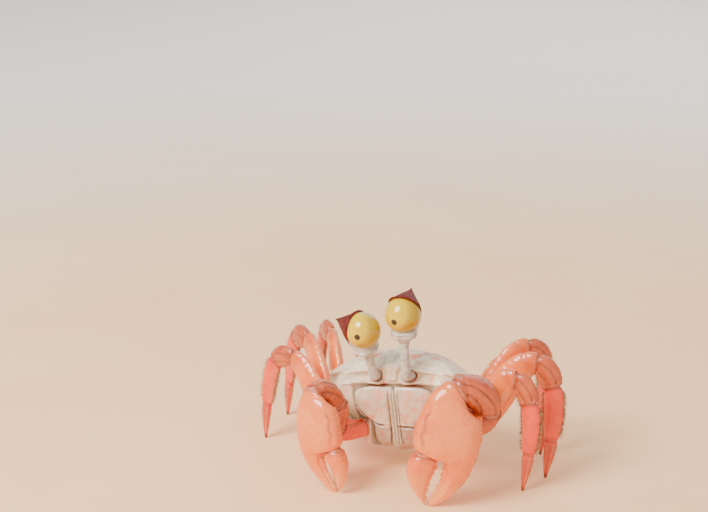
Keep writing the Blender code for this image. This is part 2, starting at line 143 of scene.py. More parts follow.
def rounded(wave, power):  # a circle's cosine or sine bent towards a square's
    return np.sign(wave) * np.abs(wave) ** power


def ringsAround(centres, ways, side, breadth, thickness, count, power=2.3):
    # breadth runs across both the way and the side, thickness along the side
    across = unit(np.cross(ways, side))
    flat = unit(np.cross(across, ways))
    power = 2 / np.asarray(power, float).reshape(-1, 1)
    out = rounded(np.cos(evenTurns(count)), power) * np.asarray(breadth).reshape(-1, 1)
    up = rounded(np.sin(evenTurns(count)), power) * np.asarray(thickness).reshape(-1, 1)
    return centres[:, None] + across[:, None] * out[..., None] + flat[:, None] * up[..., None]


def outward(grid):  # the way each point of a grid of rings faces
    aroundStep = np.roll(grid, -1, 1) - np.roll(grid, 1, 1)
    normals = unit(np.cross(aroundStep, np.gradient(grid, axis=0)))
    away = grid - grid.mean(axis=1, keepdims=True)
    return normals * np.sign((normals * away).sum())


def raised(grid, lift):
    return grid + outward(grid) * lift[..., None]


# ---- meshes

shift = np.zeros(3)  # from the crab's own axes to where the CAD stands


def linkMesh(name, mesh, finish):
    mesh.materials.append(finish)
    made = bpy.data.objects.new(name, mesh)
    bpy.context.scene.collection.objects.link(made)
    return made


def makePiece(name, grids, finish, mirrored=False, sharp=52):
    # each grid is (rings, values at its points, perhaps its two poles) and becomes one closed surface
    allPoints, allFaces, values, base = [], [], {}, 0
    labels = sorted({label for _, shades, *_ in grids for label in shades})
    for rings, shades, *poles in grids:
        rows, count = rings.shape[:2]
        points = np.vstack([rings.reshape(-1, 3), *(poles or (rings[0].mean(0), rings[-1].mean(0)))])
        i = np.arange(count)
        j = (i + 1) % count
        low = (np.arange(rows - 1) * count)[:, None]
        quads = np.stack([low + i, low + j, low + count + j, low + count + i], -1).reshape(-1, 4)
        size = rows * count
        fans = np.vstack([
            np.stack([j, i, np.full(count, size)], -1),
            np.stack([size - count + i, size - count + j, np.full(count, size + 1)], -1),
        ])
        a, b, c, d = (points[quads[:, k]] for k in range(4))
        volume = (a * np.cross(b, c)).sum() + (a * np.cross(c, d)).sum()
        volume += (points[fans[:, 0]] * np.cross(points[fans[:, 1]], points[fans[:, 2]])).sum()
        if (volume < 0) != mirrored:
            quads, fans = quads[:, ::-1], fans[:, ::-1]
        allFaces += (quads + base).tolist() + (fans + base).tolist()
        allPoints.append(points)
        for label in labels:
            shade = np.asarray(shades.get(label, 0.0))
            shade = np.broadcast_to(shade, (rows, count) + shade.shape[2:])
            flatShade = shade.reshape((size,) + shade.shape[2:])
            ends = [flatShade[:count].mean(0)[None], flatShade[-count:].mean(0)[None]]
            values.setdefault(label, []).append(np.concatenate([flatShade] + ends))
        base += len(points)
    flip = np.array([-1, 1, 1]) if mirrored else np.array([1, 1, 1])
    mesh = bpy.data.meshes.new(name)
    mesh.from_pydata(((np.vstack(allPoints) * flip + shift) * metre).tolist(), [], allFaces)
    for label in labels:
        data = np.concatenate(values[label]).astype(np.float32)
        if data.ndim == 2:
            data = data * flip
            mesh.attributes.new(label, "FLOAT_VECTOR", "POINT").data.foreach_set("vector", data.ravel())
        else:
            mesh.attributes.new(label, "FLOAT", "POINT").data.foreach_set("value", data)
    mesh.shade_smooth()
    mesh.set_sharp_from_angle(angle=radians(sharp))
    return linkMesh(name, mesh, finish)


def settle(piece, slotName, *nodes):  # the piece rides on the model and may stand for a node
    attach(piece, "root")
    if nodes:
        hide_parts(*nodes)


# ---- finishes

def rgb(*channels):  # 0 to 255, as a screen shows them
    shares = [value / 255 for value in channels]
    return tuple(v / 12.92 if v < 0.0405 else ((v + 0.055) / 1.055) ** 2.4 for v in shares) + (1,)


def join(tree, node, given):  # a given socket is joined, anything else is set
    for key, value in dict(given).items():
        if isinstance(value, bpy.types.NodeSocket):
            tree.links.new(value, node.inputs[key])
        else:
            node.inputs[key].default_value = value
    return node.outputs


def addNode(tree, kind, given=(), **settings):
    node = tree.nodes.new(kind)
    for key, value in settings.items():
        setattr(node, key, value)
    return join(tree, node, given)


class Nodes:  # a short hand for wiring one material
    def __init__(self, name):
        self.material = bpy.data.materials.new(name)
        self.material.use_nodes = True
        self.tree = self.material.node_tree
        self.place = self.add("ShaderNodeTexCoord")["Object"]

    def add(self, *given, **settings):
        return addNode(self.tree, *given, **settings)

    def paint(self, **given):  # the shader's own sockets, with _ for a space
        shader = self.tree.nodes["Principled BSDF"]
        join(self.tree, shader, {label.replace("_", " "): value for label, value in given.items()})
        return self.material

    def noise(self, size, detail=3, rough=0.55, distortion=0.0, place=None):
        given = {"Scale": 1 / (size * metre), "Detail": detail, "Roughness": rough, "Distortion": distortion}
        return self.add("ShaderNodeTexNoise", {**given, "Vector": place or self.place})["Fac"]

    def cells(self, size):
        given = {"Scale": 1 / (size * metre), "Vector": self.place}
        return self.add("ShaderNodeTexVoronoi", given)["Distance"]

    def ramp(self, *given):  # source, from low, from high, to low, to high
        steps = dict(enumerate(given))
        return self.add("ShaderNodeMapRange", steps, interpolation_type="SMOOTHSTEP")["Result"]

    def value(self, label):
        return self.add("ShaderNodeAttribute", attribute_name=label)["Fac"]

    def times(self, first, second):
        return self.add("ShaderNodeMath", {0: first, 1: second}, operation="MULTIPLY")[0]

    def blend(self, factor, first, second):  # the mix node's own numbers for its colour sockets
        return self.add("ShaderNodeMix", {0: factor, 6: first, 7: second}, data_type="RGBA")[2]

    def bump(self, height, depth, **under):
        given = {"Strength": 1, "Distance": depth * metre, "Height": height, **under}
        return self.add("ShaderNodeBump", given)["Normal"]


def hardShell(name, look):
    # colours base, patch, speck, dot, and one for each attribute, where deep is the colour of painted shade;
    # sizes in millimetres
    n = Nodes(name)
    tone = {key: rgb(*value) for key, value in look.items() if isinstance(value, tuple)}
    broad = n.ramp(n.noise(look["patchSize"], 4, 0.6, 0.6), 0.38, 0.66)
    colour = n.blend(n.times(broad, look["patchShare"]), tone["base"], tone["patch"])
    blotch = n.ramp(n.noise(look["speckSize"], 3, 0.62, 0.4), look["speckFrom"], look["speckFrom"] + 0.09)
    mask = n.ramp(n.noise(look["speckSize"] * 4.5, 2, 0.5), 0.38, 0.62)
    colour = n.blend(n.times(n.times(blotch, mask), look["speckShare"]), colour, tone["speck"])
    dust = n.ramp(n.noise(look["dotSize"], 2, 0.7), 0.60, 0.72)
    colour = n.blend(n.times(dust, look["dotShare"]), colour, tone["dot"])
    rough = n.noise(1.7, 3, 0.6)
    # the deep attribute lays painted shade over the shell's colours
    for label in ("rust", "deep", "pale"):
        uneven = n.times(n.value(label), n.ramp(rough, 0.25, 0.6, 0.65, 1.0))
        colour = n.blend(uneven, colour, tone[label])
    grain = n.bump(n.ramp(n.cells(look["grainSize"]), 0.0, 0.55, 1.0, 0.0), look["grainDepth"])
    wave = n.noise(look["grainSize"] * 2.6, 5, 0.65)
    return n.paint(
        Base_Color=colour, Normal=n.bump(wave, look["waveDepth"], Normal=grain),
        Roughness=n.ramp(rough, 0.3, 0.7, look["roughness"] - 0.07, look["roughness"] + 0.1),
        Coat_Weight=look["coat"], Coat_Roughness=look["coatRoughness"], Specular_IOR_Level=0.5, IOR=1.5,
    )


plainShell = {
    "patchShare": 0.6, "speckSize": 1.5, "speckFrom": 0.6, "speckShare": 0.35, "dotSize": 0.5,
    "dotShare": 0.35, "grainSize": 0.42, "grainDepth": 0.03, "waveDepth": 0.05,
    "roughness": 0.32, "coat": 0.5, "coatRoughness": 0.12,
}
finishes = {  # colours, and where they differ from plainShell the sizes and shares; deep is each shell's painted shade colour
    "carapaceShell": {
        "base": (252, 231, 196), "patch": (212, 182, 148), "speck": (246, 118, 66), "dot": (120, 84, 62),
        "rust": (250, 122, 66), "deep": (122, 96, 74), "pale": (244, 236, 222),
        "patchSize": 9, "speckSize": 4.2, "speckFrom": 0.57, "speckShare": 0.7, "dotShare": 0.45,
        "grainDepth": 0.035, "roughness": 0.34, "coat": 0.6, "coatRoughness": 0.11,
    },
    "underShell": {
        "base": (226, 204, 178), "patch": (212, 178, 148), "speck": (206, 140, 106),
        "dot": (150, 110, 84), "rust": (220, 130, 96), "deep": (132, 96, 74), "pale": (240, 228, 208),
        "patchSize": 7, "speckSize": 1.9, "speckShare": 0.5, "dotShare": 0.25, "grainSize": 0.4,
        "grainDepth": 0.02, "roughness": 0.4, "coat": 0.25, "coatRoughness": 0.2,
    },
    "mouthShell": {
        "base": (228, 200, 170), "patch": (190, 154, 124), "speck": (240, 112, 60), "dot": (96, 66, 50),
        "rust": (250, 118, 62), "deep": (108, 76, 58), "pale": (240, 226, 204),
        "patchSize": 7, "patchShare": 0.7, "speckSize": 3.0, "speckFrom": 0.55, "speckShare": 0.62,
        "dotSize": 0.42, "dotShare": 0.5, "grainSize": 0.4, "coat": 0.6, "coatRoughness": 0.11,
    },
    "orangeShell": {
        "base": (255, 128, 52), "patch": (246, 100, 34), "speck": (255, 170, 100), "dot": (170, 62, 30),
        "rust": (206, 78, 34), "deep": (160, 52, 22), "pale": (255, 178, 112),
        "patchSize": 8, "patchShare": 0.65, "speckSize": 1.7, "dotSize": 0.55, "grainSize": 0.5,
        "roughness": 0.3, "coat": 0.8, "coatRoughness": 0.08,
    },
    "brownShell": {
        "base": (208, 92, 46), "patch": (176, 68, 32), "speck": (224, 140, 92), "dot": (96, 38, 20),
        "rust": (206, 100, 58), "deep": (100, 40, 22), "pale": (236, 164, 116),
        "patchSize": 5, "patchShare": 0.7, "speckShare": 0.4, "dotShare": 0.4, "grainSize": 0.45,
        "grainDepth": 0.035,
    },
    "coralShell": {
        "base": (250, 76, 46), "patch": (226, 54, 32), "speck": (248, 160, 122), "dot": (130, 36, 24),
        "rust": (214, 110, 70), "deep": (120, 38, 28), "pale": (246, 186, 150),
        "patchSize": 6, "dotSize": 0.45, "waveDepth": 0.045, "roughness": 0.3,
    },
}
shells = {name: hardShell(name, {**plainShell, **look}) for name, look in finishes.items()}


def stalkFinish():
    # pale grey neck and cup; the horn attribute turns it burgundy, and the deep attribute darkens it as
    # painted shade
    n = Nodes("stalkShell")
    cloud = n.ramp(n.noise(2.2, 4, 0.6), 0.35, 0.68)
    colour = n.blend(cloud, rgb(216, 210, 198), rgb(182, 170, 154))
    fleck = n.ramp(n.noise(0.9, 3, 0.6), 0.6, 0.7)
    colour = n.blend(n.times(fleck, 0.5), colour, rgb(206, 142, 112))
    streak = n.add("ShaderNodeMapping", {"Scale": (1, 1, 0.25), "Vector": n.place})["Vector"]
    grainLines = n.ramp(n.noise(0.6, 4, 0.6, 0.3, streak), 0.35, 0.7)
    horn = n.value("horn")
    colour = n.blend(horn, colour, n.blend(grainLines, rgb(116, 22, 8), rgb(58, 8, 4)))
    # painted shade in the ring line and round the root
    colour = n.blend(n.value("deep"), colour, rgb(110, 84, 70))
    return n.paint(
        Base_Color=colour, Normal=n.bump(grainLines, 0.03, Normal=n.bump(n.noise(0.5, 4, 0.6), 0.03)),
        Roughness=n.ramp(horn, 0, 1, 0.34, 0.58), Specular_IOR_Level=0.35,
        Coat_Weight=n.ramp(horn, 0, 1, 0.4, 0.0), Coat_Roughness=0.12,
    )


def corneaFinish():
    # wet golden eye with a fine facet grain; spot is 1 in the dark centre of the false pupil, and shade is
    # painted shade on the side turned away from the light
    n = Nodes("goldenEye")
    cloud = n.ramp(n.noise(2.6, 3, 0.5), 0.3, 0.7)
    colour = n.blend(cloud, rgb(230, 194, 0), rgb(220, 182, 0))
    facets = n.ramp(n.cells(0.17), 0.0, 0.5)
    colour = n.blend(n.times(facets, 0.08), colour, rgb(200, 140, 0))
    # painted shade: a darker crescent on the side away from the light
    colour = n.blend(n.value("shade"), colour, rgb(176, 140, 0))
    colour = n.blend(n.value("spot"), colour, rgb(34, 3, 7))
    return n.paint(Base_Color=colour, Normal=n.bump(facets, 0.004), Roughness=0.3, Specular_IOR_Level=0.2,
                   Coat_Weight=1.0, Coat_Roughness=0.03)


def skinFinish():
    # soft folded skin between the plates
    n = Nodes("jointSkin")
    fold = n.noise(0.7, 4, 0.6, 0.5)
    colour = n.blend(n.ramp(fold, 0.3, 0.7), rgb(226, 150, 116), rgb(176, 92, 64))
    return n.paint(Base_Color=colour, Normal=n.bump(fold, 0.12), Roughness=0.5, Sheen_Weight=0.15)


def bristleFinish(name, root, tip, dark):
    n = Nodes(name)
    colour = n.blend(n.value("tipShare"), root, tip)
    colour = n.blend(n.ramp(n.noise(1.4, 2), 0.4, 0.65, 0, 0.5), colour, dark)
    return n.paint(Base_Color=colour, Roughness=0.45, Specular_IOR_Level=0.35)


stalkShell, goldenEye, jointSkin = stalkFinish(), corneaFinish(), skinFinish()
bristleHorn = bristleFinish("bristleHorn", rgb(122, 84, 56), rgb(222, 188, 140), rgb(96, 62, 42))
bristleStraw = bristleFinish("bristleStraw", rgb(206, 176, 136), rgb(250, 236, 206), rgb(188, 150, 108))
print("finishes made")


# ---- the body's own axes: x to the crab's left, y to its rear, z up

body = {
    "height": 24.3, "pitch": 16, "roll": 5, "gap": 0.3,
    "bottom": -8.5, "dome": 5.4, "toothX": 20.9, "socketY": -14.5, "stalkRoot": (5.6, 6.5),
    "mouthSlope": 0.39, "mouthTop": 3.6, "plateLength": 22.0, "hipLevel": -11.9,
    "corners": [(8.8, -12.1), (12.3, -8.2), (13.2, -2.6), (13.2, 3.0), (11.8, 8.6), (7.4, 12.4)],
}


def bodyAxes(sign):
    pitch = Matrix.Rotation(-radians(body["pitch"]), 3, "X")
    return np.array(pitch @ Matrix.Rotation(-radians(body["roll"]) * sign, 3, "Y"))


def placed(points, sign=1):
    return np.asarray(points, float) @ bodyAxes(sign).T + (0, 0, body["height"])


def marginHeight(x, y):
    return 9.8 - 0.0043 * (y + 17) ** 2 - 0.0058 * x**2


def mouthPlane(height):
    return -15.0 + body["mouthSlope"] * (body["mouthTop"] - height)


def mouthAxes():  # the mouth frame's top, its way down and its way out
    top = np.array((0, mouthPlane(body["mouthTop"]) - body["gap"] * 1.7, body["mouthTop"] - 0.45))
    return top, unit(np.array((0, body["mouthSlope"], -1.0))), unit(np.array((0, -1.0, -body["mouthSlope"])))


def shellEdge(columns):  # left half of the shell's edge from above, front to rear
    x = np.linspace(0, body["toothX"], 420)
    wave = -(16.3 + 1.2 * np.cos(2 * pi * (np.maximum(x, 3.6) - 3.6) / (body["toothX"] - 3.6)))
    y = mix(np.full_like(x, -19.25), wave, smooth(1.9, 3.7, x)) - 0.8 * smooth(18.6, 20.9, x) ** 1.6
    side = [(20.9, y[-1]), (20.85, -15.0), (21.85, -10.5), (22.48, -5.0), (22.25, 0.5), (21.1, 6.0),
            (19.3, 11.0), (17.0, 14.9), (13.4, 16.6), (9.0, 17.65), (4.5, 18.4), (0.0, 18.6)]
    rest = throughValues(side, np.linspace(0, 1, 500)[1:])
    rest[:, 0] = np.maximum(rest[:, 0], 0)
    edge = np.vstack([np.column_stack([x, y]), rest])
    steps = np.linalg.norm(np.diff(edge, axis=0), axis=1) * np.where(edge[:-1, 1] < -14.5, 1.7, 0.9)
    length = np.concatenate([[0], np.cumsum(steps)])
    at = np.linspace(0, length[-1], columns)
    half = np.column_stack([np.interp(at, length, edge[:, k]) for k in (0, 1)])
    return half, 1 - smooth(length[400], length[432], at)


def mirrorX(half):
    return half * np.array((-1, 1, 1)[:half.shape[-1]])


def bothHalves(half):
    return np.concatenate([half, mirrorX(half)[1:-1][::-1]])


def shellWall(edge, frontness, level):
    x, y = edge[:, 0], edge[:, 1]
    z = body["bottom"] + level * (marginHeight(x, y) - body["bottom"])
    swell = 1 - 0.3 * max(0, 1 - level / 0.75) ** 1.8
    # the face: cheeks, the bed of the mouth plates, the rim, the sockets and the lobe between them
    face = -(17.4 - 3.6 * (1 - level) ** 1.5 - 2.4 * (x / body["toothX"]) ** 4)
    face = mix(face, mouthPlane(z), (1 - smooth(13.2, 14.6, x)) * (1 - smooth(3.2, 4.1, z)))
    face = face - 0.3 * hump(level, 0.70, 0.03) * band(x, 4.0, 7.0, 16.5, 20)
    face = mix(face, y, smooth(0.90, 0.97, level))
    socket = band(x, 2.6, 4.6, 12.4, 17.6) * band(level, 0.70, 0.80, 0.865, 0.945)
    face = mix(face, body["socketY"] - 0.5 * ((x - 8.5) / 6) ** 2, socket)
    fromRoot = np.hypot(x - body["stalkRoot"][0], z - body["stalkRoot"][1])
    face = face - 0.75 * hump(fromRoot, 2.55, 0.42) + 0.6 * hump(fromRoot, 0, 1.4)
    # the lobe hangs between the stalks like a rounded tongue
    tongue = np.sqrt(np.clip(1 - (max(0, 0.86 - level) / 0.185) ** 2, 0, 1))
    lobeHalf = 1.75 * tongue + 1.1 * smooth(0.88, 1.0, level)
    lobe = 16.6 + 1.5 * smooth(0.68, 0.76, level) + 1.15 * smooth(0.76, 0.99, level)
    onLobe = (1 - smooth(lobeHalf - 0.1, lobeHalf + 0.5, x)) * (lobeHalf > 0.05)
    face = mix(face, 0.25 * (x / 2) ** 2 - lobe, onLobe)
    width = 1 + (swell - 1) * (x / body["toothX"]) ** 2
    front = np.column_stack([x * width, face, z])
    tuck = 0.2 * (1 - min(1, level / 0.6)) ** 1.5
    bulge = 0.35 * hump(level, 0.8, 0.12) - 0.5 * hump(level, 0.60, 0.03) - 0.3 * hump(level, 0.93, 0.02)
    rearward = y * np.where(y > 0, 1 - tuck, 1 - 0.5 * tuck)
    side = np.column_stack([x * swell + bulge * smooth(6, 16, x), rearward, z])
    return mix(side, front, frontness[:, None])


shellSwells = [  # height, across and along of the rounded regions of the back, each with its width
    (0.34, 3.0, 1.9, -12.6, 2.2), (0.3, 8.0, 2.6, -9.0, 3.0), (0.4, 0, 3.6, -1.5, 3.6),
    (0.42, 0, 3.2, 7.0, 2.9), (0.35, 14, 4.5, 1.5, 6.5), (0.16, 0, 4, 14, 2.4),
]


def shellRelief(x, y):  # grooves and swells of the back, in millimetres of height
    x = np.abs(x)
    grooves = -0.62 * hump(x, 6.3 + 1.1 * np.sin((y + 2) / 5.0), 0.75) * band(y, -8.5, -5, 9, 13)
    grooves -= 0.45 * hump(y, 3.4 + 0.02 * x**2, 0.7) * (1 - smooth(5.2, 6.8, x))
    grooves -= 0.4 * hump(x, 8.2 + 0.35 * (y + 12), 0.8) * band(y, -13.2, -11, -6.5, -4.5)
    grooves -= 0.22 * hump(x, 0, 0.5) * band(y, -17.5, -16, -11, -9)
    swells = sum(size * hump(x, cx, wide) * hump(y, cy, long) for size, cx, wide, cy, long in shellSwells)
    return grooves, swells


blotches = {  # across, along, radius and strength of the warm patches on the back and on the face
    "back": [
        (6.5, -12.0, 1.7, 0.7), (10.2, -8.6, 1.5, 0.6), (13.6, -10.6, 1.7, 0.6), (4.2, -6.6, 1.1, 0.5),
        (11.4, -3.6, 1.5, 0.6), (15.6, -5.2, 1.2, 0.5), (7.6, 2.6, 1.3, 0.45), (0.4, 3.2, 1.5, 0.4),
        (14.4, 4.4, 1.5, 0.45), (-6.8, -11.4, 1.5, 0.6), (-11.6, -8.2, 1.5, 0.55), (-9.0, -4.2, 1.2, 0.5),
        (-14.8, -6.8, 1.4, 0.5), (-4.2, -2.0, 1.2, 0.4), (-12.6, 1.6, 1.4, 0.45), (-6.2, 7.6, 1.4, 0.4),
        (5.2, 10.6, 1.3, 0.4), (-15.2, 8.0, 1.3, 0.4), (11.8, 10.4, 1.2, 0.4),
    ],
    "face": [
        (5.8, 4.5, 2.6, 0.75), (-4.9, 4.4, 2.5, 0.75), (12.6, 5.2, 1.2, 0.5), (17.4, 2.0, 1.3, 0.5),
        (-16.4, 1.2, 1.4, 0.45),
    ],
    "plate_left": [
        (5.6, 1.9, 1.5, 0.55), (4.6, 5.0, 0.8, 0.4), (8.8, 3.6, 0.9, 0.45), (7.0, 7.4, 1.1, 0.45),
        (10.2, 6.4, 1.2, 0.5), (4.2, 9.4, 0.9, 0.4), (4.4, 17.6, 1.0, 0.4),
    ],
    "plate_right": [
        (4.6, 2.1, 1.5, 0.55), (8.8, 5.2, 1.1, 0.45), (4.4, 8.2, 0.9, 0.4), (7.4, 10.2, 1.0, 0.35),
        (4.6, 16.8, 0.9, 0.3),
    ],
}


def spotted(places, across, along):
    total = np.zeros_like(across)
    for x, y, radius, strength in places:
        turn = np.arctan2(along - y, across - x)
        edge = 1 + 0.13 * np.sin(2 * turn + x) + 0.1 * np.sin(3 * turn + y) + 0.08 * np.sin(5 * turn + x * y)
        far = np.hypot(across - x, along - y) / (radius * edge)
        total = np.maximum(total, strength * (1 - smooth(0.65, 1.3, far)))
    return np.minimum(0.95, 1.35 * total)


def carapace():
    edge, frontness = shellEdge(190)
    levels = np.concatenate([np.linspace(0, 0.6, 30), np.linspace(0.6, 1, 62)[1:]])
    rings = [bothHalves(shellWall(edge, frontness, level)) for level in levels]
    wallRows = len(rings)
    calm = edge.copy()  # the edge without the eye sockets' waves
    calm[:, 1] = np.where(edge[:, 1] < -14.8, -17.2 + 0.0035 * edge[:, 0] ** 2, edge[:, 1])
    for t in np.linspace(0, 1, 96)[1:]:
        scale = 1 - 0.985 * t**1.15
        plan = mix(edge, calm, smooth(0.0, 0.2, 1 - scale))
        x, y = plan[:, 0] * scale, plan[:, 1] * scale + 0.5 * (1 - scale)
        relief = sum(shellRelief(x, y)) * smooth(0.0, 0.07, 1 - scale)
        z = marginHeight(x, y) + body["dome"] * (1 - scale**2.4) + relief + 0.22 * hump(scale, 0.985, 0.012)
        rings.append(bothHalves(np.column_stack([x, y, z])))
    grid = np.array(rings)
    rows = np.arange(len(grid))[:, None]
    back = (rows >= wallRows) * 1.0
    wall = 1 - back
    grid = raised(grid, (0.05 * lumps(grid, 4.5, 3) + 0.03 * lumps(grid, 1.5, 4)) * mix(0.4, 1, back))
    x, y, z = grid[..., 0], grid[..., 1], grid[..., 2]
    grooves = shellRelief(x, y)[0]
    fromEdge = back * np.clip((rows - wallRows) / 95, 0, 1)
    # painted shade under the eye sockets
    shadeUnderOrbit = 0.5 * wall * hump(z, 6.2, 1.4) * smooth(-14.8, -14.2, y) * (np.abs(x) < 17)
    face = wall * (y < -13) * spotted(blotches["face"], x, z)
    sides = back * (0.35 + 0.65 * smooth(6, 18, np.abs(x))) * smooth(0.012, 0.04, fromEdge)
    shades = {
        # deep: painted shade in the back's grooves, under the eye sockets and low on the side walls
        "deep": np.clip(-grooves * 1.3, 0, 0.7) * back + shadeUnderOrbit
        + wall * (y > -14.6) * 0.35 * (1 - smooth(-7, -1, z)),
        "rust": back * spotted(blotches["back"], x, y) + face,
        "pale": back * 0.55 * hump(fromEdge, 0.0, 0.035) + 0.3 * wall * (y < -15) * smooth(-4, 2, z),
        "beadShare": sides * np.clip(1 + grooves * 1.6, 0.1, 1),
        "alongU": rows / len(grid),
        "aroundU": np.arange(grid.shape[1])[None] / grid.shape[1],
    }
    top = placed((0, 0.5, marginHeight(0, 0.5) + body["dome"] + 0.35))
    shape = placed(grid)
    grids = [(shape, shades, shape[0].mean(0), top)]
    return makePiece("carapaceShell", grids, shells["carapaceShell"]), edge


def thorax():
    corners = np.array(body["corners"])
    shares = np.linspace(0, 1, 15)[:-1, None]

    def ringAt(height, scale, rounds):
        bed = mouthPlane(height)
        half = np.vstack([(0, bed), (7.6, bed), corners, (0, corners[-1][1])]) * scale
        line = np.vstack([mix(a, b, shares) for a, b in zip(half, half[1:])] + [half[-1:]])
        for _ in range(rounds):
            inner = line[1:-1] * 0.5 + (line[:-2] + line[2:]) * 0.25
            line = np.vstack([line[:1], inner, line[-1:]])
        return bothHalves(np.column_stack([line, np.full(len(line), height)]))

    rings = [ringAt(z, 1, 1) for z in np.linspace(-8.2, -16.1, 18)]
    for turn in np.linspace(0, pi / 2, 12)[1:]:
        rings.append(ringAt(-16.1 - 1.3 * sin(turn), 1 - 0.2 * (1 - cos(turn)), 2))
    rings += [ringAt(-17.4 - 0.5 * (0.8 - scale), scale, 2) for scale in np.linspace(0.8, 0.03, 34)[1:]]
    grid = np.array(rings)
    x, y, depth = np.abs(grid[..., 0]), grid[..., 1], -grid[..., 2]
    seams = np.zeros_like(x)
    for cx, cy in corners:  # seams between the sternal plates run in from between the legs
        along = np.clip(x / cx, 0.25, 1)
        lineY = cy * (0.55 + 0.45 * along) + 1.3 * (1 - along)
        seams = np.maximum(seams, hump(y, lineY, 0.38) * smooth(2.6, 4.5, x) * smooth(15.2, 16.9, depth))
    trough = hump(x, 0, 3.6) * smooth(16.8, 17.5, depth) * (y > -9)
    grid = raised(grid, 0.05 * lumps(grid, 3.5, 8) - 0.42 * seams - 0.1 * trough)
    shape = placed(grid)
    shades = {
        # deep: painted shade in the seams between the sternal plates and high on the sides, under the shell
        "deep": np.clip(0.8 * seams + 0.15 * smooth(11.5, 8.5, depth), 0, 0.9),
        "pale": 0.3 * smooth(16.4, 17.4, depth),
        "bristleShare": hump(y, 0.2, 1.1) * smooth(12.4, 13.0, x) * band(depth, 9.2, 10.2, 14.6, 15.6),
        "alongU": depth / 20,
        "aroundU": (grid[..., 0] + 15) / 60 + (y + 15) / 60,
        "lie": unit(outward(shape) + np.array((0, 0, -0.35))),
    }
    return makePiece("thoraxShell", [(shape, shades)], shells["underShell"])


def abdomen():
    flap = {
        "route": [(19.7, 2.4), (19.6, -1.0), (18.7, -4.8), (17.2, -9.1), (15.5, -13.8), (12.0, -17.9),
                  (7.4, -18.65), (3.0, -18.72), (-0.7, -18.75), (-4.4, -18.8)],
        "halfWidths": [8.0, 8.8, 9.0, 8.5, 7.2, 5.6, 4.7, 3.9, 3.1, 1.7],
        "seams": [0.10, 0.22, 0.34, 0.46, 0.58, 0.70, 0.86],
    }
    t = np.linspace(0, 1, 150)
    path = np.column_stack([np.zeros(len(t)), throughValues(flap["route"], t)])
    ways = unit(np.gradient(path, axis=0))
    width = throughValues(flap["halfWidths"], t) * (1 - 0.85 * smooth(0.965, 1.02, t) ** 2)
    step = np.zeros(len(t))
    for low, high in zip([0] + flap["seams"], flap["seams"] + [1.0]):
        share = (t - low) / (high - low)
        plate = 0.22 * np.sin(pi * np.clip(share, 0, 1)) ** 0.5 + 0.12 * share
        step = np.where((t >= low) & (t < high), plate, step)
    across = unit(np.cross(ways, np.cross(ways, (1, 0, 0))))
    flat = unit(np.cross(across, ways))
    out, up = rounded(np.cos(evenTurns(56)), 0.62), rounded(np.sin(evenTurns(56)), 0.6)
    lateral = out * (width + 0.5 * step)[:, None]
    arch = 0.45 * (1 - np.abs(out) ** 2.2) * band(t, 0, 0.12, 0.9, 1.0)[:, None]  # gently arched across
    height = up * 0.62 + (step[:, None] + arch) * np.clip(up, 0, 1)
    grid = path[:, None] + across[:, None] * lateral[..., None] + flat[:, None] * height[..., None]
    nearSeam = np.max([hump(t, seam, 0.009) for seam in flap["seams"]], axis=0)
    shades = {
        # deep: painted shade in the seams between the segments and along the flap's sides
        "deep": 0.7 * nearSeam[:, None] + 0.25 * smooth(0.85, 1.0, np.abs(out)),
        "rust": 0.3 * (1 - smooth(0.1, 0.4, t))[:, None],
    }
    return makePiece("abdomenFlap", [(placed(grid), shades)], shells["underShell"])


mouthOutline = {  # across in millimetres, down as a share of the plate's length
    "edge": [(0.35, 0.04), (3.6, 0.0), (9.2, 0.01), (12.9, 0.09), (13.4, 0.3), (12.0, 0.45), (7.9, 0.585),
             (7.3, 0.86), (5.6, 0.98), (3.0, 1.0), (0.35, 0.97), (0.35, 0.64), (0.35, 0.34)],
    "centre": (5.4, 0.46),
}


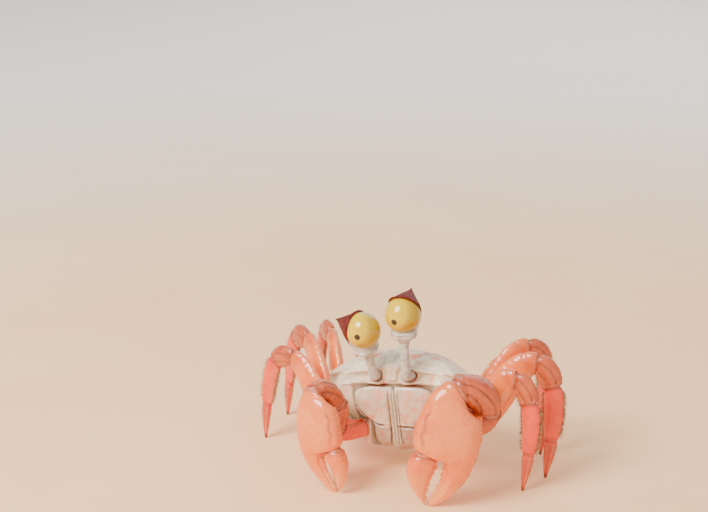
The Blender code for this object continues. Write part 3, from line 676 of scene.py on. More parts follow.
def mouthPlate(word, sign):
    edge, centre = mouthOutline["edge"], np.array(mouthOutline["centre"])
    top, down, out = mouthAxes()
    loop = np.array(edge[-2:] + edge + edge[:3])
    line = throughValues(loop, np.linspace(2, 2 + len(edge), 220, endpoint=False) / (len(loop) - 1))
    line[:, 0] = np.maximum(line[:, 0], 0.3)
    t = np.linspace(0, 1, 60)  # the rings climb the plate's rim and then close over its face
    scales = 1 - 0.985 * np.maximum(t - 0.12, 0) / 0.88
    lifts = np.where(t < 0.12, t / 0.12, 1.0 + 2.1 * (1 - scales**2.6) ** 0.62)
    flat = centre + (line[None] - centre) * scales[:, None, None]
    x, share = flat[..., 0], flat[..., 1]
    # the joint between the long lower article and the shorter one, and a furrow down the inner edge
    if sign > 0:
        jointAt = 0.63 + 0.05 * ((x - 4) / 5) ** 2
        joint = hump(share, jointAt, 0.016)
    else:
        jointAt = 0.61 - 0.3 * (np.clip(x - 3, 0, 9.5) / 9.5) ** 2.2
        joint = hump(share, jointAt, 0.016) * smooth(2.6, 4.6, x)
    furrow = hump(x, 1.55 + 0.5 * smooth(0.7, 1.0, share), 0.24) * band(share, 0.03, 0.1, 0.9, 0.97)
    hollow = hump(x, 7.2, 2.2) * hump(share, 0.34, 0.16)
    lips = hump(share, jointAt + 0.035, 0.02) + hump(share, jointAt - 0.035, 0.02)
    onFace = smooth(1.0, 1.5, lifts)[:, None]
    lift = lifts[:, None] + onFace * (0.16 * lips - 0.75 * joint - 0.42 * furrow - 0.25 * hollow)
    grid = top + down * (share * body["plateLength"])[..., None] + out * lift[..., None]
    grid[..., 0] += x
    grain = onFace * (0.06 * lumps(grid, 3.2, 11 + sign) + 0.03 * lumps(grid, 1.2, 15))
    grid = grid + out * grain[..., None]
    innerEdge = (1 - smooth(1.05, 1.3, x)) * smooth(0.55, 1.2, lifts)[:, None]
    # dark is painted shade in the joint line, the furrow and round the plate's rim; deep adds more painted
    # shade below the joint
    dark = 0.85 * joint * onFace + 0.9 * furrow * onFace + 0.75 * (1 - onFace) * smooth(1.0, 2.0, x)
    lie = (np.array((-0.9, 0, 0)) + down * 0.7 + out * 0.55) @ bodyAxes(sign).T
    shades = {
        "deep": np.clip(dark + 0.4 * smooth(-0.02, 0.06, share - jointAt), 0, 1),
        "pale": 0.95 * innerEdge + 0.32 * onFace * (1 - smooth(0.05, 0.55, share)),
        "rust": onFace * spotted(blotches["plate_" + word], x, share * body["plateLength"]),
        "alongU": share, "aroundU": x / 13,
        "bristleShare": innerEdge * smooth(0.06, 0.12, share),
        "lie": np.broadcast_to(lie, grid.shape),
    }
    pole = top + down * centre[1] * body["plateLength"] + out * lift[-1].mean() + (centre[0], 0, 0)
    shape = placed(grid, sign)
    grids = [(shape, shades, shape[0].mean(0), placed(pole, sign))]
    return makePiece("mouthPlate_" + word, grids, shells["mouthShell"], sign < 0)


def mouthSeam():  # the plates' soft meeting edge
    t = np.linspace(0.025, 0.97, 60)
    top, down, out = mouthAxes()
    run = down * (t * body["plateLength"])[:, None]
    centres = top + run + out * (1.35 + 0.1 * np.sin(t * 9))[:, None]
    taper = np.sin(pi * np.clip((t - 0.02) / 0.96, 0, 1)) ** 0.25
    ways = np.broadcast_to(down, centres.shape)
    grid = ringsAround(centres, ways, out, 0.36 * taper, 0.75 * taper, 16, 2.2)
    return makePiece("mouthSeam", [(placed(grid), {"pale": 0.9})], shells["mouthShell"])


def antenna(word, sign):  # a short feeler folded beside the eye stalk
    t = np.linspace(0, 1, 40)
    path = [(3.3, -16.2, 4.5), (3.6, -17.3, 4.4), (4.6, -17.7, 4.0), (7.6, -17.5, 4.1), (10.8, -17.0, 4.5)]
    centres = throughValues(path, t)
    ways = unit(np.gradient(centres, axis=0))
    rings = 0.06 * np.abs(np.sin(t * 60)) * (t > 0.3)
    size = throughValues((0.75, 0.7, 0.5, 0.32, 0.2), t) * (1 - 0.3 * rings)
    grid = ringsAround(placed(centres, sign), ways, np.array((0.1, 0.2, 1.0)), size, size, 12, 2)
    return makePiece("antenna_" + word, [(grid, {"pale": 0.3})], shells["mouthShell"], sign < 0)


# ---- eyes

eyes = {
    "cornea": (6.0, 5.8, 5.6), "reach": 6.9, "root": (5.6, -15.2, 6.5), "toFoot": (-0.2, -4.6, 1.6),
    "neck": [(0.0, 1.75), (0.5, 1.85), (0.92, 1.75)],
    # depth below the cornea's middle, shift to the rear, half-breadth, half-thickness
    "cup": [(14.6, 0.0, 1.5, 1.45), (10.4, 0.0, 1.5, 1.45), (8.7, 0.05, 2.1, 2.0), (7.6, 0.15, 3.5, 3.3),
            (6.5, 0.3, 4.1, 3.8), (5.1, 0.9, 4.25, 3.9)],
    # distance from the cornea's middle and half-breadth: the sides run on from its own curve
    "horn": [(2.7, 5.4), (3.6, 5.1), (5.0, 4.3), (6.9, 3.0), (8.9, 1.6), (10.4, 0.65), (11.3, 0.2)],
}


def eyeFrame(sign, lean, height):
    out, front, horn, turn = (radians(a) for a in lean)
    upright = unit(np.array((sin(out), -sin(front), cos(out))))
    ahead = np.array((0.35, -1, 0))
    ahead = unit(ahead - upright * upright.dot(ahead))
    away = ahead * cos(turn) - np.cross(upright, ahead) * sin(turn)
    root = placed(eyes["root"], sign)
    foot = root + eyes["toFoot"]
    return {
        "upright": upright, "ahead": ahead, "away": away, "horn": upright * cos(horn) - away * sin(horn),
        "tilt": horn, "hornLength": 0.86 if horn < 1 else 1.0, "root": root, "foot": foot,
        "middle": foot + upright * height,
    }


def eyeStalk(word, sign, place):
    keys = []  # middle, way, side, half-breadth, half-thickness of each ring
    upright, away, middle = place["upright"], place["away"], place["middle"]
    for share, size in eyes["neck"]:
        way = unit(mix(unit(place["foot"] - place["root"]), upright, share**3))
        keys.append((mix(place["root"], place["foot"], share), way, away, size, size))
    for drop, back, breadth, thickness in eyes["cup"]:
        keys.append((middle - upright * drop - away * back, upright, away, breadth, thickness))
    cupEnd = len(keys)
    if place["tilt"] < radians(60):
        turn = -place["tilt"] / 2
        inward = away * cos(turn) - upright * sin(turn)
        alongHorn = upright * cos(turn) + away * sin(turn)
        keys.append((middle - inward * eyes["reach"], alongHorn, inward, 3.6, 1.15))
    hornStart = len(keys)
    for reach, size in eyes["horn"]:
        reach = min(reach, 4) + max(reach - 4, 0) * place["hornLength"]
        keys.append((middle + place["horn"] * reach, place["horn"], away, size, size))
    t, count = np.linspace(0, 1, (len(keys) - 1) * 16 + 1), 72
    centres, ways, sides, breadth, thickness = (throughValues(values, t) for values in zip(*keys))
    index = t[:, None] * (len(keys) - 1)
    collar = 0.3 * hump(index[:, 0], 0.35, 0.35)  # the stalk's own base swells where it leaves the shell
    grid = ringsAround(centres, unit(ways), unit(sides), breadth + collar, thickness + collar, count, 2.1)
    turn = evenTurns(count)[None]
    lobes = hump(turnGap(turn, 0.25), 0, 0.6) + hump(turnGap(turn, pi - 0.25), 0, 0.6)
    cupLobes = 0.45 * hump(index, cupEnd - 2.2, 0.55) * lobes
    ringLine = 0.16 * hump(index, cupEnd - 4.4, 0.12) + 0.14 * hump(index, 1.4, 0.12)
    hornIndex = np.clip(index - hornStart, 0, 9)
    flutes = 0.06 * np.sin(turn * 9 + 1.2 * np.sin(hornIndex)) * band(hornIndex, 0.2, 1.0, 3.6, 4.8)
    grid = raised(grid, cupLobes - ringLine + flutes + 0.04 * lumps(grid, 2.2, 21))
    edge = hornStart - 0.45 + 0.12 * np.sin(turn * 3 + 1) + 0.05 * np.sin(turn * 7)
    shades = {
        "horn": smooth(edge - 0.1, edge + 0.1, index),
        # deep: painted shade in the ring line and round the stalk's root
        "deep": 0.5 * hump(index, cupEnd - 4.4, 0.14) + 0.3 * (1 - smooth(0, 1.2, index)),
    }
    return makePiece("eyeStalk_" + word, [(grid, shades)], stalkShell, sign < 0)


def cornea(word, sign, place, spotWay):
    t = np.linspace(0, pi, 130)[1:-1]
    tall, wide, deep = eyes["cornea"]
    upright, middle = place["upright"], place["middle"]
    centres = middle - upright * (np.cos(t) * tall)[:, None]
    ways = np.broadcast_to(upright, centres.shape)
    grid = ringsAround(centres, ways, place["ahead"], wide * np.sin(t), deep * np.sin(t), 168, 2)
    around = unit(grid - middle) * (sign, 1, 1)

    def degreesFrom(way):
        return np.degrees(np.arccos(np.clip(around @ way, -1, 1)))

    # shade: painted shade, darker on the side turned away from the light
    lightWay = unit(np.array((-0.55, -0.8, 0.35)))
    shades = {
        "spot": 1 - smooth(9.4, 11.0, degreesFrom(spotWay)),
        "shade": 0.75 * smooth(52, 74, degreesFrom(lightWay)),
    }
    poles = (middle - upright * tall, middle + upright * tall)
    return makePiece("eyeGlobe_" + word, [(grid, shades, *poles)], goldenEye, sign < 0)


# ---- limbs

joints = []  # soft skin rings, filled in as the limbs are made
surface = {  # what a segment's own look doesn't say
    "neck": 0.84, "rim": 0.09, "power": 2.3, "keel": 0, "keelTurn": 0, "flutes": 0, "rugae": 0, "strips": 0,
    "lumps": 0.05, "pale": 0.35, "edgePale": 0, "bandRust": 0, "beads": 0, "bristles": 0,
}


def stretched(shades, shape, before, after):  # the end values go on over rings added past the ends
    for label, value in shades.items():
        value = np.broadcast_to(value, shape + value.shape[2:])
        shades[label] = np.concatenate([value[:1]] * before + [value] + [value[-1:]] * after)


def limbSegment(name, segment, finish, mirrored):
    # segment: ends, ways, side, breadth, thickness, pull, and the words of its surface
    rows, count = segment["grid"]
    look = {**surface, **segment.get("look", {})}
    startWay, endWay = segment["ways"]
    start = segment["ends"][0] + startWay * body["gap"] / 2
    end = segment["ends"][1] - endWay * body["gap"] / 2
    t = np.linspace(0, 1, rows)  # closer together near both ends
    t = mix(t, 0.5 - 0.5 * np.cos(pi * t), 0.7)
    centres, ways = hermite(start, end, startWay, endWay, segment["pull"], t)
    shape = 1 - (1 - look["neck"]) * (1 - smooth(0, 0.09, t))
    shape = shape + look["rim"] * hump(t, 0.965, 0.03) - 0.05 * hump(t, 0.895, 0.025)
    breadth, thickness = (throughValues(segment[k], t) * shape for k in ("breadth", "thickness"))
    grid = ringsAround(centres, ways, segment["side"], breadth, thickness, count, look["power"])
    turn, along = evenTurns(count)[None], t[:, None]
    bare = band(along, 0.06, 0.16, 0.90, 0.97)
    fromKeel = turnGap(turn, look["keelTurn"])
    top = hump(fromKeel, 0, 0.34)
    under = hump(turnGap(turn, look["keelTurn"] + pi), 0, 0.3)
    lift = look["keel"] * (top + 0.55 * under) * bare
    if look["rugae"]:
        wave = np.sin(along * look["rugaeCount"] * pi + 1.4 * np.sin(turn * 2 + along * 9) + 2.0 * fromKeel)
        lift = lift + look["rugae"] * np.clip(wave, -0.2, 1) * bare * hump(fromKeel, 0.55, 0.55)
    if look["flutes"]:
        lift = lift + look["fluteDepth"] * np.abs(np.sin(turn * look["flutes"] / 2)) ** 0.7 * bare
    groove = np.zeros(lift.shape)
    if look["strips"]:
        first, *others = look["stripTurns"]
        lines = [first + 0.25 * np.sin(along * 3)] + [c + 0.2 * np.sin(along * 3 + c) for c in others]
        groove = np.max([hump(turnGap(turn, line), 0, 0.09) for line in lines], axis=0)
        groove = groove * band(along, 0.02, 0.12, 0.93, 0.99)
        lift = lift - look["strips"] * groove
    lift = lift + look["lumps"] * lumps(grid, 3.4, len(name) + int(mirrored)) * bare
    normals = outward(grid)
    grid = grid + normals * lift[..., None]
    # painted shade where the segment meets its neighbours and in the strip grooves, as the deep value
    endShade = hump(along, 0.0, 0.075) + 0.9 * hump(along, 1.0, 0.05)
    shades = {
        "deep": np.clip(0.55 * endShade + 0.7 * groove, 0, 1),
        "pale": (look["pale"] * hump(turnGap(turn, pi), 0, 0.9) + look["edgePale"] * top) * bare,
        "rust": look["bandRust"] * hump(along, 0.9, 0.05),
        "beadShare": look["beads"] * (0.25 + 0.75 * top) * bare,
        "bristleShare": look["bristles"] * np.maximum(top, under) ** 2 * bare,
        "alongU": along,
        "aroundU": (turn / (2 * pi) + 0.75) % 1,
        "lie": unit(ways[:, None] * 0.8 + normals * 0.75),
    }
    # the far rim turns in to a shallow hollow, the near end runs back inside its neighbour
    first, last = grid[0], grid[-1]
    near, far = first.mean(0), last.mean(0)
    root = (first - near) * 0.93 + near - startWay * 0.3
    hollow = ((0.985, 0.16), (0.90, 0.10), (0.84, -0.40))
    rim = [(last - far) * size + far + endWay * push for size, push in hollow]
    stretched(shades, (rows, count), 1, 3)
    # painted shade inside the far rim's hollow
    shades["deep"][-2:] = 0.9
    for label in ("beadShare", "bristleShare"):
        shades[label][:1] = shades[label][-3:] = 0
    return makePiece(name, [(np.concatenate([[root], grid, rim]), shades)], finish, mirrored, 48)


def sized(piece, size, ends, ways, side):  # a segment of a limb from its plain measures
    girths = {key: np.array(piece[key]) * size for key in ("breadth", "thickness")}
    return {**piece, **girths, "ends": ends, "ways": ways, "side": side}


def addSegment(limb, kind, word, segment, finish, slotName):
    made = limbSegment(f"{limb}{kind.capitalize()}_{word}", segment, shells[finish], word == "right")
    settle(made, slotName, f"{limb}_{kind}_{word}")


def jointRing(point, way, side, breadth, thickness, mirrored):  # a soft cuff in the slit between two pieces
    t = np.linspace(-1, 1, 7)
    centres = point + way * (t * 0.75)[:, None]
    swell = 0.80 + 0.09 * np.cos(t * pi / 2)
    ways = np.broadcast_to(way, centres.shape)
    grid = ringsAround(centres, ways, side, breadth * swell, thickness * swell, 28, 2.3)
    joints.append(mirrorX(grid) if mirrored else grid)


def between(first, second):
    return unit(unit(first) + unit(second))


def stoodOn(grid, tip, size, steps):  # the last ring runs down to a small level flat on the floor
    last, middle = grid[-1], grid[-1].mean(0)
    level = (last - middle) / np.linalg.norm(last - middle, axis=1).max() * size
    level[:, 2] = 0
    flat = np.array((tip[0], tip[1], 0.0)) + level
    return np.concatenate([grid, [mix(last, flat, k) for k in steps]])


# ---- claws

claws = {
    "shoulder": (17.2, -20.2, -11.4), "facing": (0.28, -1, 0.05), "palmHeight": 20.6,
    "arm": {
        "breadth": (3.0, 4.3, 4.9, 4.4), "thickness": (2.8, 3.7, 4.3, 3.8), "pull": 0.8, "grid": (84, 60),
        "look": {"keel": 0.5, "rugae": 0.12, "rugaeCount": 26, "keelTurn": 0.3, "pale": 0.3, "beads": 0.9,
                 "power": 2.1},
    },
    "wrist": {
        "breadth": (4.2, 5.2, 5.2, 4.5), "thickness": (3.8, 4.7, 4.7, 4.0), "pull": 1.1, "grid": (84, 60),
        "look": {"strips": 0.45, "stripTurns": (0.9, 1.9, 2.9), "rim": 0.05, "beads": 0.9, "pale": 0.15,
                 "neck": 0.8, "lumps": 0.1},
    },
    # along, lateral edge, medial edge, half-thickness, all as shares
    "palm": [(0.0, 0.22, -0.22, 0.165), (0.05, 0.32, -0.33, 0.205), (0.18, 0.455, -0.47, 0.252),
             (0.34, 0.51, -0.52, 0.268), (0.47, 0.505, -0.495, 0.252), (0.535, 0.49, -0.40, 0.228),
             (0.575, 0.475, 0.005, 0.19), (0.66, 0.445, 0.055, 0.16), (0.80, 0.34, 0.035, 0.12),
             (0.92, 0.185, -0.015, 0.08), (0.985, 0.075, -0.035, 0.04)],
    "finger": [(0.555, -0.10, -0.43, 0.165), (0.575, -0.065, -0.475, 0.19), (0.61, -0.065, -0.50, 0.20),
               (0.70, -0.095, -0.50, 0.172), (0.82, -0.125, -0.42, 0.122), (0.92, -0.12, -0.275, 0.08),
               (0.985, -0.095, -0.14, 0.022)],
}


def hipFacet(sign, number):
    a, b = (np.array(c) for c in body["corners"][number:number + 2])
    way = unit(np.array((b[1] - a[1], a[0] - b[0], 0)))
    point = np.append((a + b) / 2, body["hipLevel"]) + way * body["gap"] / 2
    return placed(point, sign), way @ bodyAxes(sign).T


def clawSurface(kind, word, sign, size, ends, startWay):
    palm = kind == "palm"
    facing = unit(np.array(claws["facing"]))
    height = claws["palmHeight"] * size
    start, tip = ends[0] + startWay * body["gap"] / 2, ends[1]
    axis, length = unit(tip - start), np.linalg.norm(tip - start)
    table = np.array(claws[kind])
    rows, count = (132, 84) if palm else (90, 52)
    share = np.linspace(table[0, 0], table[-1, 0], rows)
    if palm:  # rows crowd round the step where the moving finger starts
        share = np.sort(np.concatenate([share, np.linspace(0.53, 0.58, rows // 4)]))
    lateral, medial, thick = (throughKeys(table[:, 0], table[:, k], share) for k in (1, 2, 3))
    way = unit(mix(startWay, axis, np.minimum(1, share / 0.16)[:, None]))
    bow = np.sin(pi * np.minimum(1, share)) * 0.05 * length
    centres = start + axis * (share * length)[:, None] + facing * bow[:, None]
    centres = centres - unit(np.cross(way, facing)) * ((lateral + medial) / 2 * height)[:, None]
    half = (lateral - medial) / 2 * height
    power = mix(2.4, 2.05, smooth(0.6, 0.9, share))
    grid = ringsAround(centres, way, facing, half, thick * height, count, power)
    turn, along = evenTurns(count)[None], share[:, None]
    medialEdge, lateralEdge = turnGap(turn, 0), turnGap(turn, pi)
    biting, backEdge = (medialEdge, lateralEdge) if palm else (lateralEdge, medialEdge)
    inFingers = band(along, 0.585, 0.64, 0.93, 0.99)
    teeth = np.abs(np.sin(along * 52 + 0.5 * np.sin(along * 17))) ** 0.8
    teeth = teeth * (0.55 + 0.45 * np.sin(along * 21) ** 2)
    saw = np.abs(np.sin(along * 62)) ** 0.7
    lift = (0.75 * teeth * hump(biting, 0, 0.30) - 0.28 * hump(biting, 0.62, 0.16)) * inFingers
    lift = lift + 0.20 * saw * hump(backEdge, 0, 0.2) * band(along, 0.08, 0.18, 0.86, 0.95)
    fold = np.zeros(lift.shape)
    if palm:
        fold = hump(turnGap(turn, 0.58 + 0.45 * along + 0.06 * np.sin(along * 46)), 0, 0.09)
        fold = fold * band(along, 0.12, 0.2, 0.42, 0.52)
        lift = lift + 0.16 * saw * hump(medialEdge, 0, 0.18) * band(along, 0.08, 0.16, 0.48, 0.53)
        lift = lift - 0.34 * fold
    ridge = hump(turnGap(turn, pi / 2), 0.16 * np.sign(pi / 2 - turn), 0.12)
    lift = lift + 0.16 * ridge * band(along, 0.62, 0.7, 0.9, 0.97) + 0.07 * lumps(grid, 5, 31)
    collar = 0.3 * hump(along, 0.05, 0.012) if palm else 0.25 * hump(along, 0.61, 0.01)
    lift = lift * size - collar + 0.03 * lumps(grid, 1.8, 32)
    grid = raised(grid, lift)
    outer = hump(turnGap(turn, pi / 2), 0, 1.15)
    edges = np.maximum(hump(backEdge, 0, 0.5), hump(medialEdge, 0, 0.4) * (1 - inFingers))
    shades = {
        # deep: painted shade at the piece's root, in the palm's fold and on the fingers' biting sides
        "deep": np.clip(0.75 * hump(along, table[0, 0], 0.03) + 0.8 * fold
                        + 0.3 * hump(biting, 0.55, 0.25) * inFingers, 0, 1),
        "pale": 0.55 * smooth(0.62, 0.95, along) + 0.6 * hump(biting, 0, 0.4) * inFingers
        + 0.25 * outer * hump(along, 0.3, 0.22),
        "rust": 0.32 * hump(backEdge, 0, 0.5) * (1 - smooth(0.5, 0.8, along))
        + 0.3 * hump(turnGap(turn, -pi / 2), 0, 0.9),
        "beadShare": (0.30 * outer + 0.85 * edges) * band(along, 0.07, 0.13, 0.72, 0.86),
    }
    if palm:  # the palm's own pointed finger stands on the floor
        stretched(shades, grid.shape[:2], 0, 4)
        grid = stoodOn(grid, tip, 0.5, (0.35, 0.7, 0.92, 1.0))
        grid[..., 2] = np.maximum(grid[..., 2], 0.0)
    made = makePiece(f"claw{kind.capitalize()}_{word}", [(grid, shades)], shells["orangeShell"], sign < 0)
    settle(made, "limb_upper", f"claw_{kind}_{word}")


def claw(word, sign, side):
    mirrored, size = sign < 0, side["clawSize"]
    hipStart, hipWay = hipFacet(sign, 0)
    shoulder = placed(claws["shoulder"], sign)
    elbow, wrist, tip = (np.array(side[k], float) for k in ("elbow", "wrist", "tip"))
    armSide = unit(np.array(side["armSide"]))
    ways = [hipWay, between(shoulder - hipStart, elbow - shoulder), between(elbow - shoulder, wrist - elbow),
            between(wrist - elbow, tip - wrist)]
    hip = {"ends": (hipStart, shoulder), "ways": ways[:2], "side": armSide, "breadth": (2.5, 2.7, 2.9),
           "thickness": (2.4, 2.6, 2.7), "pull": 0.8, "grid": (36, 32)}
    addSegment("claw", "hip", word, hip, "coralShell", "limb_lower")
    arm = sized(claws["arm"], size, (shoulder, elbow), ways[1:3], armSide)
    addSegment("claw", "arm", word, arm, "brownShell", "limb_upper")
    block = sized(claws["wrist"], size, (elbow, wrist), ways[2:4], armSide)
    addSegment("claw", "wrist", word, block, "brownShell", "limb_joint")
    for kind in ("palm", "finger"):
        clawSurface(kind, word, sign, size, (wrist, tip), ways[3])
    for point, way, breadth, thickness in (
        (hipStart, hipWay, 2.5, 2.4), (shoulder, ways[1], 3.0, 2.8),
        (elbow, ways[2], 4.7 * size, 4.1 * size), (wrist, ways[3], 4.9 * size, 4.2 * size),
    ):
        jointRing(point, way, armSide, breadth, thickness, mirrored)
    # skin under the root of the moving finger
    height, length = claws["palmHeight"] * size, np.linalg.norm(tip - wrist)
    facing, axis = unit(np.array(claws["facing"])), unit(tip - wrist)
    across = unit(np.cross(axis, facing))
    root = wrist + axis * 0.565 * length + across * 0.26 * height + facing * 0.05 * length
    jointRing(root, axis, facing, 0.2 * height, 0.175 * height, mirrored)


# ---- walking legs

legs = [  # headings towards the rear on its left and on its right
    {"base": (21.4, -8.4, -11.2), "headings": (-9, 24), "lengths": (27.0, 8.5, 17.5, 13.5), "girth": 0.9},
    {"base": (22.0, -1.2, -11.4), "headings": (4, 44), "lengths": (32.5, 9.2, 18.5, 14.0), "girth": 1.0},
    {"base": (21.2, 6.2, -11.4), "headings": (30, 56), "lengths": (32.0, 9.2, 18.5, 14.0), "girth": 0.95},
    {"base": (17.0, 14.9, -11.9), "headings": (46, 66), "lengths": (24.5, 7.8, 14.5, 11.5), "girth": 0.74},
]
legPieces = {  # half-breadths, half-thicknesses, straightness, finish, slot and surface
    "upper": {
        "breadth": (3.0, 4.9, 5.2, 4.6, 3.6), "thickness": (1.9, 2.5, 2.6, 2.3, 1.9), "pull": 0.75,
        "finish": "orangeShell", "slot": "limb_upper", "grid": (100, 48),
        "look": {"keel": 0.35, "rugae": 0.09, "rugaeCount": 30, "rim": 0.06, "beads": 0.55, "bristles": 0.35,
                 "pale": 0.45, "edgePale": 0.2, "bandRust": 0.6, "power": 2.15},
    },
    "knee": {
        "breadth": (3.1, 3.7, 3.9, 3.3), "thickness": (1.8, 2.2, 2.2, 1.9), "pull": 1.05,
        "finish": "brownShell", "slot": "limb_joint", "grid": (60, 44),
        "look": {"keel": 0.3, "strips": 0.28, "stripTurns": (1.2, 1.9, -1.2, -1.9), "rim": 0.08,
                 "beads": 0.4, "bristles": 0.5, "pale": 0.3},
    },
    "shin": {
        "breadth": (2.9, 3.2, 2.9, 2.3), "thickness": (1.7, 1.8, 1.6, 1.3), "pull": 0.7,
        "finish": "coralShell", "slot": "limb_lower", "grid": (72, 44),
        "look": {"keel": 0.28, "flutes": 4, "fluteDepth": 0.12, "rugae": 0.05, "rugaeCount": 24, "rim": 0.07,
                 "beads": 0.2, "bristles": 1.0, "pale": 0.4},
    },
}


def walkingLeg(word, sign, number, lowerAngles):
    leg = legs[number - 1]
    mirrored, girth = sign < 0, leg["girth"]
    heading = radians(leg["headings"][0 if sign > 0 else 1])
    outside = np.array((cos(heading), sin(heading), 0))
    side = np.array((-sin(heading), cos(heading), 0))

    def wayAt(angle):
        return outside * cos(angle) + np.array((0, 0, sin(angle)))

    base = placed(leg["base"], sign)
    angles = [radians(a) for a in lowerAngles]
    drop = -sum(length * sin(a) for length, a in zip(leg["lengths"][1:], angles))
    angles.insert(0, asin((drop - base[2]) / leg["lengths"][0]))
    points = [base]
    for length, angle in zip(leg["lengths"], angles):
        points.append(points[-1] + wayAt(angle) * length)
    hipStart, hipWay = hipFacet(sign, number)
    ways = [hipWay, between(base - hipStart, wayAt(angles[0]))]
    ways += [between(wayAt(a), wayAt(b)) for a, b in zip(angles, angles[1:])]
    stout = np.array((2.45 * girth**0.5, 2.6 * girth**0.5, 2.9 * girth))
    hip = {"ends": (hipStart, base), "ways": ways[:2], "side": side, "breadth": stout,
           "thickness": stout * 0.9, "pull": 1.0, "grid": (34, 32), "look": {"rim": 0.06}}
    name = f"leg{number}"
    addSegment(name, "hip", word, hip, "coralShell", "limb_lower")
    jointRing(hipStart, hipWay, side, stout[0], stout[0] * 0.9, mirrored)
    for i, (kind, piece) in enumerate(legPieces.items()):
        segment = sized(piece, girth, points[i:i + 2], ways[i + 1:i + 3], side)
        addSegment(name, kind, word, segment, piece["finish"], piece["slot"])
        jointRing(points[i], ways[i + 1], side, segment["breadth"][0], segment["thickness"][0], mirrored)
    made = foot(f"{name}Foot_{word}", points[3], points[4], ways[4], side, girth, mirrored)
    settle(made, "limb_lower", f"{name}_foot_{word}")
    jointRing(points[3], ways[4], side, 2.2 * girth, 1.25 * girth, mirrored)


def foot(name, ankle, tip, startWay, side, girth, mirrored):
    start = ankle + startWay * body["gap"] / 2
    endWay = unit(mix(unit(tip - start), np.array((0, 0, -1.0)), 0.4))
    rows, count = 80, 40
    t = np.linspace(0, 0.93, rows)
    centres, ways = hermite(start, tip, startWay, endWay, 0.9, t)
    neck = girth * (1 - 0.14 * (1 - smooth(0, 0.06, t)))
    breadth = throughValues((2.2, 1.9, 1.5, 0.95, 0.5), t) * neck
    thickness = throughValues((1.25, 1.15, 0.95, 0.7, 0.45), t) * neck
    grid = ringsAround(centres, ways, side, breadth, thickness, count, 2.2)
    turn, along = evenTurns(count)[None], t[:, None]
    bare = band(along, 0.05, 0.15, 0.72, 0.95)
    lift = 0.13 * girth * np.abs(np.cos(turn * 3)) ** 0.8 * bare  # six ribs with furrows between them
    normals = outward(grid)
    grid = grid + normals * lift[..., None]
    ribs = np.abs(np.cos(turn * 3)) ** 4
    # painted shade at the ankle and in the furrows between the ribs; the tip is darker too
    dark = 0.6 * hump(along, 0, 0.06) + 0.35 * (1 - ribs) * bare + 0.9 * smooth(0.80, 0.93, along)
    shades = {
        "deep": np.clip(dark, 0, 1),
        "pale": 0.35 * ribs * bare, "rust": 0.2 * smooth(0.4, 0.8, along),
        "bristleShare": ribs * bare * (1 - smooth(0.5, 0.75, along)),
        "alongU": along, "aroundU": (turn / (2 * pi) + 0.75) % 1,
        "lie": unit(ways[:, None] + normals * 0.7),
    }
    stretched(shades, (rows, count), 1, 4)
    near = (grid[0] - grid[0].mean(0)) * 0.9 + grid[0].mean(0) - startWay * 0.3
    grid = np.concatenate([[near], stoodOn(grid, tip, 0.42, (0.3, 0.6, 0.85, 1.0))])
    return makePiece(name, [(grid, shades)], shells["coralShell"], mirrored)


# ---- node trees for what repeats

def newTree(name, **inputs):
    tree = bpy.data.node_groups.new(name, "GeometryNodeTree")
    tree.interface.new_socket("Geometry", in_out="INPUT", socket_type="NodeSocketGeometry")
    for label, value in inputs.items():
        kind = "NodeSocketInt" if isinstance(value, int) else "NodeSocketFloat"
        tree.interface.new_socket(label, in_out="INPUT", socket_type=kind).default_value = value
    tree.interface.new_socket("Geometry", in_out="OUTPUT", socket_type="NodeSocketGeometry")
    return tree, tree.nodes.new("NodeGroupInput").outputs


def runTree(tree, source, name, settings, finish):
    modifier = source.modifiers.new("grow", "NODES")
    modifier.node_group = tree
    for item in tree.interface.items_tree:
        if item.in_out == "INPUT" and item.name in settings:
            modifier[item.identifier] = settings[item.name]
    graph = bpy.context.evaluated_depsgraph_get()
    mesh = bpy.data.meshes.new_from_object(source.evaluated_get(graph))
    source.modifiers.remove(modifier)
    mesh.name = name
    mesh.materials.clear()
    return linkMesh(name, mesh, finish)


def named(tree, label, kind="FLOAT"):  # an attribute of the surface the tree runs on
    return addNode(tree, "GeometryNodeInputNamedAttribute", {"Name": label}, data_type=kind)["Attribute"]


def chance(tree, given, low, high):
    return addNode(tree, "FunctionNodeRandomValue", {2: low, 3: high, "Seed": given["Seed"]})[1]


def scattered(tree, given, share):  # points on the faces, where the surface's share says
    return addNode(tree, "GeometryNodeDistributePointsOnFaces", {
        "Mesh": given["Geometry"], "Distance Min": given["Spacing"], "Density Max": given["Most"],
        "Density Factor": named(tree, share), "Seed": given["Seed"],
    }, distribute_method="POISSON")


def times(tree, first, second):
    return addNode(tree, "ShaderNodeMath", {0: first, 1: second}, operation="MULTIPLY")[0]


def upright(tree, width, height):  # the scale of a round shape
    return addNode(tree, "ShaderNodeCombineXYZ", {0: width, 1: width, 2: height})[0]


def standing(tree, way):  # the turn that stands a shape up along a way
    return addNode(tree, "FunctionNodeAlignRotationToVector", {"Vector": way}, axis="Z")[0]


def planted(tree, points, rotation, shape, scale):  # a real, smooth copy of the shape on every point
    made = addNode(tree, "GeometryNodeInstanceOnPoints", {
        "Points": points, "Rotation": rotation, "Instance": shape, "Scale": scale,
    })
    for kind in ("GeometryNodeRealizeInstances", "GeometryNodeSetShadeSmooth"):
        made = addNode(tree, kind, {0: made[0]})
    tree.links.new(made[0], tree.nodes.new("NodeGroupOutput").inputs[0])
    return tree


def beadTree():  # low domes scattered where the surface's beadShare says
    tree, given = newTree("shellBeads", Spacing=0.0009, Most=5e6, Bead=0.0003, Flatness=0.6, Seed=4)
    points = scattered(tree, given, "beadShare")
    bead = addNode(tree, "GeometryNodeMeshUVSphere", {"Segments": 6, "Rings": 4, "Radius": 1})["Mesh"]
    width = times(tree, given["Bead"], chance(tree, given, 0.45, 1.0))
    scale = upright(tree, width, times(tree, width, given["Flatness"]))
    return planted(tree, points["Points"], points["Rotation"], bead, scale)


